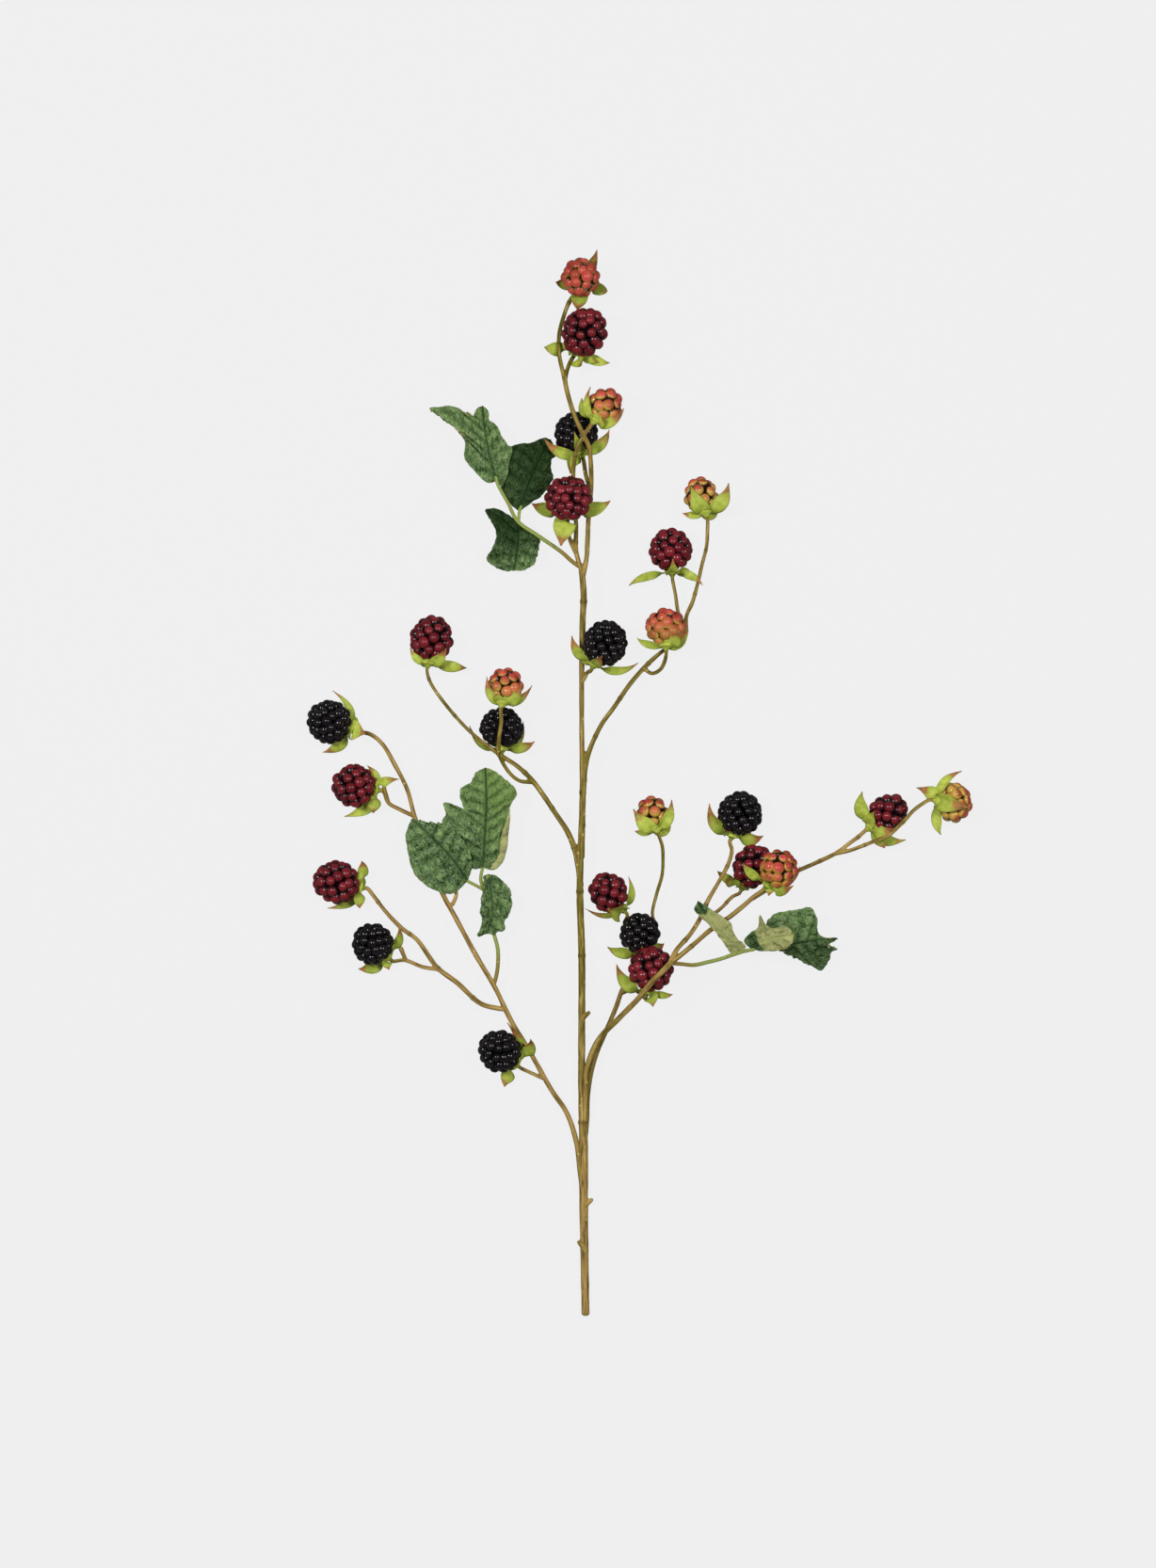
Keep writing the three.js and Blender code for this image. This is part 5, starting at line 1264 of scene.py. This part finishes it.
@dataclass
class Berry:
    """A berry and the calyx that it sits in.

    Args:
        spec: Its sizes and place.
        seed: Start of its random numbers.
        plate: Thickness of the calyx plate.
        neck: Length of the calyx neck.
        gap: Clear space between the drupelets and the plate.
        clear: Distance that a sepal keeps from the berry, in millimetres.
        sepal_grid: Rows and columns of points of a sepal.
        depth: How far in the drupelets are counted, as a share of a drupelet's radius.
        spacing: Distance between drupelets, as a share of a drupelet's radius.
        unevenness: How far a drupelet may be out of the spiral, as a share of the berry's radius.
    """

    spec: BerrySpec
    seed: int
    plate: float = 1.4
    neck: float = 1.6
    gap: float = 0.3
    clear: float = 0.9
    sepal_grid: tuple[int, int] = (19, 9)
    depth: float = 0.88
    spacing: float = 1.7
    unevenness: float = 0.06
    middle: Array = field(init=False)
    axis: Array = field(init=False)

    def __post_init__(self) -> None:
        """Works out the middle and the axis, in the tables' millimetres."""
        self.middle = np.array((centre(f"berry_{self.spec.name}") - ORIGIN) / MM)
        heading, pitch = math.radians(self.spec.heading), math.radians(self.spec.pitch)
        flat = math.cos(pitch)
        self.axis = np.array([flat * math.cos(heading), flat * math.sin(heading), math.sin(pitch)])

    def on_axis(self, along: float) -> Array:
        """A point on the axis, measured from the middle towards the tip."""
        return self.middle + self.axis * along

    def foot(self) -> list[Course]:
        """The two places where a stalk runs into the neck, without a radius."""
        end = -self.spec.long / 2 - self.gap - self.plate - self.neck
        return [tuple(self.on_axis(end - 1.5)), tuple(self.on_axis(end + 0.6))]

    def fruit(self, tree: DrupeletTree, skins: dict[Ripeness, bpy.types.Material]) -> None:
        """Builds the drupelets and their core.

        Args:
            tree: The tree that packs the drupelets.
            skins: The materials, by ripeness.
        """
        look = FRUITING[self.spec.ripe]
        name = f"drupelets_{self.spec.name}"
        half, length = self.spec.wide / 2, self.spec.long / 2
        # As many drupelets as fit, packed in triangles, on an ellipsoid near their middles.
        wide, long = half - self.depth * look.drupelet, length - self.depth * look.drupelet
        area = 4 * math.pi * (wide**2 * 0.66 + wide * long * 0.34)
        count = round(area / (TRIANGLE * (look.drupelet * self.spacing) ** 2))
        mesh = tree.grow(
            name,
            half_width=half * MM,
            half_length=length * MM,
            drupelets=count,
            drupelet_radius=look.drupelet * MM,
            unevenness=self.unevenness,
            redness=self.spec.redness,
            seed=self.seed,
            skin=skins[self.spec.ripe],
        )
        turn = Vector((0, 0, 1)).rotation_difference(Vector(self.axis)).to_matrix().to_4x4()
        mesh.transform(Matrix.Translation(ORIGIN + Vector(self.middle) * MM) @ turn)
        finished(name, mesh, f"berry_{self.spec.name}")

    def calyx(self, tissue: bpy.types.Material) -> None:
        """Builds the calyx: its plate and neck, and the sepals.

        Args:
            tissue: The material of the sepals.
        """
        shell = Shell()
        self.cup(shell)
        for number, sepal in enumerate(self.spec.sepals):
            self.sepal(shell, sepal, self.seed * 10 + number)
        name = f"sepals_{self.spec.name}"
        mesh = shell.mesh(name)
        mesh.materials.append(tissue)
        finished(name, mesh, f"calyx_{self.spec.name}")

    def cup(self, shell: Shell) -> None:
        """Adds the plate that the berry sits on and the neck that takes the stalk.

        Args:
            shell: The calyx that takes them.
        """
        face = -self.spec.long / 2 - self.gap
        back = face - self.plate
        end = back - self.neck
        radius = self.spec.wide * 0.18
        # Each ring's place on the axis, its radius, and how shaded and how brown it is.
        profile = (
            (end, 1.15, 0.5, 0.3),
            (end + 0.4, 1.35, 0.4, 0.2),
            ((back + end) / 2, 1.6, 0.3, 0),
            (back - 0.1, 2.3, 0.2, 0),
            (back + 0.3, radius * 0.8, 0.1, 0),
            (back + 0.8, radius, 0.1, 0),
            (face, radius * 0.94, 0.1, 0),
        )
        along, size, shade, brown = np.array(profile).T
        line = np.column_stack([[self.on_axis(place) for place in along], size])
        shell.tube(line, sides=16, shade=shade, brown=brown)

    def outside(self, point: Array, margin: float) -> Array:
        """Moves a point out of the berry.

        Args:
            point: The point.
            margin: How far off the berry's ellipsoid it has to be.

        Returns:
            The point, moved if it was nearer than that.
        """
        offset = point - self.middle
        along = offset.dot(self.axis)
        across = float(np.linalg.norm(offset - self.axis * along))
        depth = math.hypot(along / (self.spec.long / 2 + margin), across / (self.spec.wide / 2 + margin))
        return self.middle + offset / min(depth, 1) if depth > 0 else point

    def bent(self, tip: Array, share: Array) -> Array:
        """Works out the line that a sepal follows from the plate round the berry.

        Args:
            tip: Where the sepal ends.
            share: The shares of its length to work out, one to a row.

        Returns:
            A point for each share.
        """
        root = self.on_axis(-self.spec.long / 2 - self.gap - self.plate / 2)
        reach = tip - root
        bend = root + (reach - self.axis * reach.dot(self.axis)) * 0.75
        path = root * (1 - share) ** 2 + bend * 2 * share * (1 - share) + tip * share**2
        path = np.array([self.outside(point, self.clear) if i else point for i, point in enumerate(path)])
        for _ in range(2):
            path[1:-1] = (path[:-2] + 2 * path[1:-1] + path[2:]) / 4
        return path

    def sepal(self, shell: Shell, sepal: Course, seed: int) -> None:
        """Adds one sepal: a boat-shaped blade that bends round the berry to a drawn-out tip.

        Args:
            shell: The calyx that takes it.
            sepal: Its tip from the berry's middle, and its width.
            seed: Start of its random numbers.
        """
        dice = np.random.default_rng(seed)
        rows, columns = self.sepal_grid
        share = np.linspace(0, 1, rows)
        path = self.bent(self.middle + np.array(sepal[:3]), share[:, None])
        tangent = unit(np.gradient(path, axis=0))
        # A sepal grows flat against the plate and turns its face up as it runs out.
        turn = 0.8 * smooth(share, 0.0, 0.45)[:, None]
        away = unit((1 - turn) * unit(path - self.middle) + turn * np.array([0.0, 0.0, 1.0]))
        side = unit(np.cross(away, tangent))
        up = np.cross(tangent, side)
        width = (0.78 + 0.22 * smooth(share, 0, 0.3)) * (1 - 0.97 * smooth(share, 0.42, 1.06) ** 1.15)
        half = sepal[3] / 2 * 1.03 * width
        spread = np.linspace(-1, 1, columns)
        wave = 0.12 * ripple(share, seed + 1)[:, None] * np.abs(spread) ** 2
        cup = dice.uniform(-0.3, 0.5) * (np.abs(spread) ** 1.4)[None] * half[:, None]
        ridge = 0.25 * np.exp(-((spread / 0.2) ** 2))[None] * (1 - share[:, None])
        curl = dice.uniform(-0.6, 1.4) * smooth(share, 0.72, 1.0)[:, None]
        top = path[:, None] + side[:, None] * (half[:, None] * spread)[..., None]
        top = top + up[:, None] * (cup + wave + ridge + curl)[..., None]
        ones = np.ones(columns)[None]
        age = self.spec.dryness
        brown = share[:, None] ** 1.6 * dice.uniform(0.75, 1.25) * ones + 0.35 * age * np.abs(spread)[None]
        shade = 0.5 * (1 - smooth(share, 0, 0.3))[:, None] * ones + dice.uniform(0, 0.3) + 0.6 * age
        shade = np.clip(shade, 0, 1)
        edge = np.abs(spread)[None] ** 4 * np.ones((rows, 1))
        thick = 0.55 * (1 - 0.5 * np.abs(spread)[None] ** 2) * (1 - 0.5 * share[:, None])
        shell.plate(top, thick, brown=brown, shade=shade, edge=edge)


@dataclass(frozen=True)
class Lamina:
    """A leaflet's blade while it is still flat: a grid with rows from base to tip and columns from the
    right edge to the left.

    Args:
        share: Each row's share of the length.
        spread: Each column's place across, from 1 on the right edge to -1 on the left.
        margins: The left and the right edge.
        aside: The way across the midrib at each row.
        top: The points.
        out: The way from the midrib to the edge at each point.
        normal: The way up at each point.
        distance: Each point's distance from the midrib, in millimetres.
        phase: How many side veins lie between each point and the base.
    """

    share: Array
    spread: Array
    margins: tuple[Array, Array]
    aside: Array
    top: Array
    out: Array
    normal: Array
    distance: Array
    phase: Array

    def fade(self) -> Array:
        """How strong the side veins are at each point."""
        return smooth(self.distance, 0.0, 2.0) * (1 - 0.5 * np.abs(self.spread)[None] ** 3)


@dataclass
class Leaf:
    """A compound leaf with its petioles.

    Args:
        spec: Its shape.
        rows: Rows of points from base to tip of a leaflet.
        half: Columns of points on each side of the midrib.
        veins: Distance between side veins, in millimetres.
        tooth: Length of one tooth of the margin, in millimetres.
        pucker: Distance between the puckers of the blade, in millimetres.
        vein: Width of a vein's groove, in millimetres.
        quilt: Height of the blade between two veins, in millimetres.
        thick: Thickness of the blade, in millimetres.
        lag: How far the left half's veins are moved along the midrib, as a share of their distance.
        strip: Half the width that the blade keeps at its ends, in millimetres.
    """

    spec: LeafSpec
    rows: int = 120
    half: int = 22
    veins: float = 6.0
    tooth: float = 4.4
    pucker: float = 3.6
    vein: float = 0.7
    quilt: float = 0.95
    thick: float = 0.42
    lag: float = 0.45
    strip: float = 0.18

    def build(self, blade: bpy.types.Material, stalk: bpy.types.Material) -> None:
        """Builds the leaf and dresses it.

        Args:
            blade: The material of the leaflets.
            stalk: The material of the petioles.
        """
        shell = Shell()
        for number, petiole in enumerate(self.spec.petioles):
            line = catmull(petiole, 1.2)
            length = np.linspace(0, 1, len(line))
            tone = smooth(length, 0.12, 0.4) if number == 0 else np.ones(len(line))
            shell.tube(line, sides=12, slot=1, tone=tone)
        for number, leaflet in enumerate(self.spec.leaflets):
            self.leaflet(shell, leaflet, sum(map(ord, self.spec.name)) + number)
        name = self.spec.name.replace("leaf", "leaflets")
        mesh = shell.mesh(name)
        mesh.materials.append(blade)
        mesh.materials.append(stalk)
        finished(name, mesh, self.spec.name)

    def even(self, edge: Sequence[Place]) -> Array:
        """Divides an edge evenly.

        Args:
            edge: Places along it.

        Returns:
            A place for each row of the leaflet.
        """
        line = catmull(edge, 0.25)
        at = np.linspace(0, len(line) - 1, self.rows)
        return np.stack([np.interp(at, np.arange(len(line)), line[:, k]) for k in range(3)], axis=1)

    def leaflet(self, shell: Shell, spec: LeafletSpec, seed: int) -> None:
        """Adds one leaflet: a toothed blade, sunk along its veins and quilted between them.

        Args:
            shell: The leaf that takes it.
            spec: Its midrib and edges.
            seed: Start of its random numbers.
        """
        flat = self.lay_out(spec, seed)
        grow, relief = self.teeth(spec, flat, seed), self.relief(spec, flat, seed)
        top = flat.top + flat.out * grow[..., None] + flat.normal * relief[..., None]
        # Ends are drawn to a narrow strip rather than a point.
        top = top + flat.aside[:, None] * (flat.spread[None, :, None] * self.strip)
        thick = self.thick * (1 - 0.45 * np.abs(flat.spread)[None] ** 4) * np.ones((self.rows, 1))
        values = self.values(spec, flat)
        if spec.flap:
            top, thick, values = self.fold_over(spec, (top, thick, values), flat.normal, seed)
        if spec.pale:
            top, thick = top[:, ::-1], thick[:, ::-1]
            values = {name: value[:, ::-1] for name, value in values.items()}
        shell.plate(top, thick, **values)

    def lay_out(self, spec: LeafletSpec, seed: int) -> Lamina:
        """Spans a leaflet's flat blade between its midrib and its edges.

        Args:
            spec: The leaflet.
            seed: Start of its random numbers.

        Returns:
            The flat blade.
        """
        share = np.linspace(0, 1, self.rows)
        rib = self.even(spec.rib)
        left, right = (self.even([spec.rib[0], *side, spec.rib[-1]]) for side in (spec.left, spec.right))
        spread = np.linspace(1, -1, 2 * self.half + 1)
        edge = np.where(spread[None, :, None] > 0, right[:, None], left[:, None])
        # Each row leaves the midrib nearer the base than where it meets the edge.
        steps = run_along(rib)
        run = np.interp(share**spec.sweep, share, steps)
        start = np.stack([np.interp(run, steps, rib[:, k]) for k in range(3)], axis=1)[:, None]
        distance = np.linalg.norm(edge - start, axis=2) * np.abs(spread)[None]
        top = start + (edge - start) * np.abs(spread)[None, :, None]
        normal = unit(np.cross(np.gradient(top, axis=0), np.gradient(top, axis=1)))
        normal *= np.sign(normal[..., 2:] + 1e-9)
        lag = np.where(spread > 0, 0.0, self.lag)[None]
        phase = run[:, None] / self.veins + lag + 0.12 * ripple(distance / 9 + spread[None], seed)
        aside = unit(np.cross(unit(np.gradient(rib, axis=0)), [0, 0, 1.0]))
        return Lamina(share, spread, (left, right), aside, top, unit(edge - start), normal, distance, phase)

    def relief(self, spec: LeafletSpec, flat: Lamina, seed: int) -> Array:
        """Works out how high the blade stands.

        Args:
            spec: The leaflet.
            flat: Its flat blade.
            seed: Start of its random numbers.

        Returns:
            A height for each point.
        """
        share, spread, distance = flat.share[:, None], flat.spread[None], flat.distance
        from_vein = np.abs(flat.phase - np.round(flat.phase)) * self.veins * VEIN_SLANT
        valley = np.exp(-((from_vein / self.vein) ** 2)) * flat.fade()
        pillow = (1 - np.cos(2 * math.pi * flat.phase)) / 2 * smooth(distance, 1.0, 5.0)
        relief = self.quilt * pillow - 0.25 * valley - 0.5 * np.exp(-((distance / self.vein) ** 2))
        puckers = crinkle(flat.top[..., 0] / self.pucker, flat.top[..., 1] / self.pucker, seed + 1)
        relief += spec.pucker * puckers * smooth(distance, 0.5, 3)
        wave = ripple(share * 2.2 + spread * 0.2, seed + 2)
        relief += spec.crumple * wave * (np.abs(spread) ** 2) * smooth(distance, 3, 12)
        wave = ripple(share * 5 + spread, seed + 3) * smooth(distance, 2, 9)
        relief += spec.crumple * 0.5 * wave
        return -relief if spec.pale else relief

    def teeth(self, spec: LeafletSpec, flat: Lamina, seed: int) -> Array:
        """Works out the margin's teeth, which point towards the tip and are not there on a flap.

        Args:
            spec: The leaflet.
            flat: Its flat blade.
            seed: Start of its random numbers.

        Returns:
            How far each point is moved outwards.
        """
        share, spread = flat.share, flat.spread
        saw = np.zeros(flat.phase.shape)
        for margin, chosen in zip(flat.margins, (spread < 0, spread > 0)):
            along = run_along(margin) / self.tooth + 0.3 * ripple(share * 3, seed + 4)
            saw[:, chosen] = ((along % 1) ** 0.8 - 0.45)[:, None]
        ends = smooth(share, 0.0, 0.06) * (1 - smooth(share, 0.96, 1.0))
        side = spec.flap[0] if spec.flap else 1
        kept = np.where(spread[None] * side > 0, 1 - self.folded(spec, share)[:, None], 1.0)
        depth = np.where(spread > 0, spec.teeth[1], spec.teeth[0])[None]
        return saw * smooth(np.abs(spread), 0.8, 1.0)[None] * ends[:, None] * depth * kept

    def values(self, spec: LeafletSpec, flat: Lamina) -> dict[str, Array]:
        """Works out the point values that the blade's finish reads.

        Args:
            spec: The leaflet.
            flat: Its flat blade.

        Returns:
            The values by attribute name.
        """
        share, across, right = flat.share[:, None], np.abs(flat.spread), flat.spread > 0
        midrib = np.exp(-((flat.distance / self.vein) ** 2))
        # A broader painted shadow along the midrib, widest towards the base.
        shadow = np.exp(-((flat.distance / (4.0 * (1.2 - share))) ** 2))
        base, tip, to_left, to_right = spec.tone
        halves = np.where(right, to_right, to_left) * smooth(across, 0.0, 0.2)
        over = smooth(flat.share, spec.turned - 0.02, spec.turned + 0.02)
        return {
            "phase": flat.phase,
            "reach": flat.distance + 40 * right[None],
            "fade": flat.fade(),
            "midrib": np.clip(midrib * 0.5 + shadow * 0.4, 0, 1),
            "margin": smooth(across, 0.9, 1.0)[None] * np.ones((self.rows, 1)),
            "tone": base + (tip - base) * share + halves[None],
            "flipped": over[:, None] * np.ones_like(flat.phase),
        }

    def folded(self, spec: LeafletSpec, share: Array) -> Array:
        """How far the flap is folded over.

        Args:
            spec: The leaflet.
            share: Each row's share of the length.

        Returns:
            A number for each row, from 0 to 1.
        """
        if not spec.flap:
            return np.zeros(len(share))
        _, start, end, _ = spec.flap
        return smooth(share, start, start + 0.12) * (1 - smooth(share, end - 0.15, end))

    def fold_over(self, spec: LeafletSpec, blade: Blade, normal: Array, seed: int) -> Blade:
        """Adds the band that folds back over the blade beyond one edge.

        Args:
            spec: The leaflet.
            blade: Its grid of points with its right edge first, and the thickness and values there.
            normal: The blade's normals, upwards.
            seed: Start of its random numbers.

        Returns:
            The blade with the band's columns added.
        """
        top, thick, values = blade
        side, _, _, width = spec.flap
        right = side > 0
        share = np.linspace(0, 1, self.rows)
        fold = self.folded(spec, share)
        column = 0 if right else -1
        edge = top[:, column]
        out = unit(edge - top[:, self.half])
        up = normal[:, column]
        roll = 0.75 * np.minimum(1, fold * 3) + 0.01
        reach = width * fold * (1 + 0.22 * ripple(share * 7, seed + 5)) + 0.02
        extra = []
        for turn in (math.pi / 4, math.pi / 2, 3 * math.pi / 4, math.pi):
            around = out * (roll * math.sin(turn))[:, None] + up * (roll * (1 - math.cos(turn)))[:, None]
            extra.append(edge + around)
        last = extra[-1]
        for part in (0.33, 0.66, 1.0):
            rise = 0.5 * np.sin(math.pi * part) + 0.4 * part * ripple(share * 5, seed + 6) + 0.3
            extra.append(last - out * (reach * part)[:, None] + up * (rise * fold)[:, None])
        band = np.stack(extra, axis=1)

        def joined(first: Array, second: Array) -> Array:
            """The blade's columns with the band's beyond them."""
            return np.concatenate([second[:, ::-1], first] if right else [first, second], axis=1)

        count = band.shape[1]
        for name, value in values.items():
            values[name] = joined(value, np.repeat(value[:, column][:, None], count, 1))
        return joined(top, band), joined(thick, np.full((self.rows, count), 0.25)), values


@dataclass
class Stem:
    """A stem with its side strands, grown together into one skin.

    Args:
        spec: Its node, strands and scars.
        berries: The berries by name, whose calyces take the strands.
        step: Distance between the points of a strand, in millimetres.
        voxel: Size of the cells that the strands are grown together with, in millimetres.
        scars: Distance between the scars of a side strand, in millimetres.
        swell: How much thicker a stem is at a scar.
        skin: What a strand is thickened by, as growing together shrinks it, in millimetres.
    """

    spec: StemSpec
    berries: dict[str, Berry]
    step: float = 0.9
    voxel: float = 0.42
    scars: float = 24.0
    swell: float = 0.22
    skin: float = 0.07

    def strand(self, number: int) -> Array:
        """Works out one strand.

        Args:
            number: The strand's number.

        Returns:
            Its middle line, each row x, y, z, radius, tone and scar.
        """
        strand = self.spec.strands[number]
        route = list(strand.route)
        if strand.berry:
            route += [(*place, route[-1][3]) for place in self.berries[strand.berry].foot()]
        line = catmull(route, self.step)
        uneven = 1 + 0.05 * ripple(run_along(line) / 17, number * 31 + len(self.spec.node))
        scar = self.scarred(number, line)
        line[:, 3] = line[:, 3] * uneven * (1 + self.swell * scar) + self.skin
        given = strand.tones
        tone = np.interp(np.linspace(0, 1, len(line)), np.linspace(0, 1, len(given)), given)
        return np.column_stack([line, tone, scar])

    def scarred(self, number: int, line: Array) -> Array:
        """Works out the scars: at given heights on the first strand, evenly along the longer others.

        Args:
            number: The strand's number.
            line: Its middle line.

        Returns:
            How much of a scar each point is in, from 0 to 1.
        """
        run = run_along(line)
        scar = np.zeros(len(line))
        if number == 0:
            for height in self.spec.rings:
                scar = np.maximum(scar, np.exp(-(((line[:, 1] - height) / 0.9) ** 2)))
        elif run[-1] > 30:
            dice = np.random.default_rng(number + len(self.spec.node))
            for place in np.arange(14 + dice.uniform(0, 8), run[-1] - 6, self.scars):
                scar = np.maximum(scar, 0.8 * np.exp(-(((run - place) / 0.8) ** 2)))
        return scar

    def build(self, bark: bpy.types.Material) -> None:
        """Builds the stem and dresses it in its bark.

        Args:
            bark: The material of the stem.
        """
        shell = Shell()
        strands = [self.strand(number) for number in range(len(self.spec.strands))]
        for line in strands:
            shell.tube(line[:, :4], sides=12)
        name = f"stem_{self.spec.node}"
        carrier = placed(name, shell.mesh(name))
        grown = carrier.modifiers.new("grown", "REMESH")
        grown.mode = "VOXEL"
        grown.voxel_size = self.voxel * MM
        grown.use_smooth_shade = True
        eased = carrier.modifiers.new("eased", "SMOOTH")
        eased.factor = 0.5
        eased.iterations = 3
        mesh = plain_mesh(carrier)
        mesh.name = name
        self.paint(mesh, strands)
        mesh.materials.clear()
        mesh.materials.append(bark)
        mesh.shade_smooth()
        finished(name, mesh, self.spec.node)

    def paint(self, mesh: bpy.types.Mesh, strands: list[Array]) -> None:
        """Gives each point the tone, the scars and the course of the strand that it lies on.

        Args:
            mesh: The grown mesh, in metres.
            strands: The strands' middle lines.
        """
        rows = np.vstack(strands)
        ahead = np.vstack([unit(np.gradient(line[:, :3], axis=0)) for line in strands])
        # Each strand's streaks start at a place of their own.
        run = np.concatenate([number * 100 + run_along(line) for number, line in enumerate(strands)])
        tree = KDTree(len(rows))
        for i, row in enumerate(rows):
            tree.insert(Vector(row[:3]), i)
        tree.balance()
        points = np.zeros(len(mesh.vertices) * 3)
        mesh.vertices.foreach_get("co", points)
        points = (points.reshape(-1, 3) - np.array(ORIGIN)) / MM
        near = np.array([tree.find(Vector(point))[1] for point in points])
        offset = points - rows[near, :3]
        forward = ahead[near]
        slip = np.sum(offset * forward, axis=1)
        side = unit(np.cross(forward, [0.0, 0.0, 1.0]))
        over = np.cross(side, forward)
        # Lengthways a streak's course counts a tenth.
        parts = [np.sum(offset * side, axis=1), np.sum(offset * over, axis=1), (run[near] + slip) * 0.1]
        store(mesh, "tone", rows[near, 4])
        store(mesh, "ring", rows[near, 5])
        store(mesh, "cut", smooth(0.4 - points[:, 1], 0, 0.5) * (self.spec.node == "main_cane"))
        store(mesh, "course", np.column_stack(parts))


@dataclass
class Studio:
    """The pale table, two soft lamps side by side, a plain sky and the camera that looks down.

    Args:
        floor: Colour of the table.
        evenness: Share of that even colour in what the camera sees of the table. The rest is shadow.
        height: How far up the camera is, in metres.
        span: Height of the picture at the table, in metres.
        shift: Where the camera stands over the table.
        edge: How far the table runs each way, in metres.
        lamp: Where a lamp hangs: to the side, along the table and up, in metres.
        lamp_size: Its width and length, in metres.
        power: Energy of the left and the right lamp, in watts.
        sky: Strength of the sky's light.
    """

    floor: str = "#fbfbfb"
    evenness: float = 0.87
    height: float = 4.0
    span: float = 0.833
    shift: tuple[float, float] = (-0.0324, -0.0003)
    edge: float = 3.0
    lamp: Place = (0.95, 0.35, 1.85)
    lamp_size: tuple[float, float] = (0.35, 0.5)
    power: tuple[float, float] = (25.5, 18.0)
    sky: float = 0.17

    def build(self) -> None:
        """Sets the studio up."""
        self.table()
        self.lamps()
        self.camera()
        bpy.context.scene.view_settings.view_transform = "Standard"

    def table(self) -> None:
        """Lays the table's top under the sprig."""
        mesh = bpy.data.meshes.new("table_top")
        corners = [(x * self.edge, y * self.edge, 0) for x, y in ((-1, -1), (1, -1), (1, 1), (-1, 1))]
        mesh.from_pydata(corners, [], [(0, 1, 2, 3)])
        material, tree, _ = new_material("pale_table_paint")
        paint = add(tree, "ShaderNodeBsdfDiffuse", {"Color": "#7c7c7c"})
        plain = add(tree, "ShaderNodeEmission", {"Color": self.floor, "Strength": 1.0})
        seen = add(tree, "ShaderNodeLightPath").outputs["Is Camera Ray"]
        share = add(tree, "ShaderNodeMath", {0: seen, 1: self.evenness}, operation="MULTIPLY")
        shade = add(tree, "ShaderNodeMixShader", {0: share, 1: paint, 2: plain})
        add(tree, "ShaderNodeOutputMaterial", {"Surface": shade})
        mesh.materials.append(material)
        placed("table_top", mesh)

    def lamps(self) -> None:
        """Hangs the lamps and sets the sky's light."""
        across, along, up = self.lamp
        for side, name, energy in zip((-1, 1), ("soft_lamp_1", "soft_lamp_3"), self.power):
            light = bpy.data.lights.new(name, "AREA")
            light.shape = "RECTANGLE"
            light.size, light.size_y = self.lamp_size
            light.energy = energy
            lamp = placed(name, light)
            lamp.location = (side * across, along, up)
            lamp.rotation_euler = Vector(lamp.location).to_track_quat("Z", "Y").to_euler()
        world = bpy.data.worlds.new("plain_sky")
        world.use_nodes = True
        background = world.node_tree.nodes["Background"]
        background.inputs["Color"].default_value = linear("#f4f6fa")
        background.inputs["Strength"].default_value = self.sky
        bpy.context.scene.world = world

    def camera(self) -> None:
        """Sets the camera straight above the sprig."""
        data = bpy.data.cameras.new("camera")
        data.sensor_fit = "VERTICAL"
        data.sensor_height = 24.0
        data.lens = data.sensor_height * self.height / self.span
        camera = placed("camera", data)
        camera.location = (*self.shift, self.height)
        bpy.context.scene.camera = camera


class Sprig:
    """The whole sprig, from the cane to the last sepal."""

    def __init__(self) -> None:
        """Makes the berries and the materials of the stems."""
        self.berries = {spec.name: Berry(spec, seed + 1) for seed, spec in enumerate(BERRIES)}
        self.bark = StemBark("bramble_bark", "#a9894c", "#786c22", "#4f4014", "#c6ac62").material()
        self.petiole = StemBark("bramble_petiole_skin", "#8f7a38", "#92a352", "#667636", "#b4c27c").material()

    def stems(self) -> None:
        """Builds the cane and the shoots."""
        for spec in STEMS:
            Stem(spec, self.berries).build(self.bark)

    def leaves(self) -> None:
        """Builds the three leaves."""
        blade = LeafSkin().material()
        for spec in LEAVES:
            Leaf(spec).build(blade, self.petiole)

    def fruits(self) -> None:
        """Builds the berries and their calyces."""
        tree = DrupeletTree()
        skins = {ripe: look.skin.material() for ripe, look in FRUITING.items()}
        tissue = SepalSkin().material()
        for berry in self.berries.values():
            berry.fruit(tree, skins)
            berry.calyx(tissue)


def main() -> None:
    """Builds the sprig and its studio."""
    logging.basicConfig(level=logging.INFO, format="%(message)s")
    Studio().build()
    sprig = Sprig()
    sprig.stems()
    sprig.leaves()
    sprig.fruits()


if __name__ == "__main__":
    main()
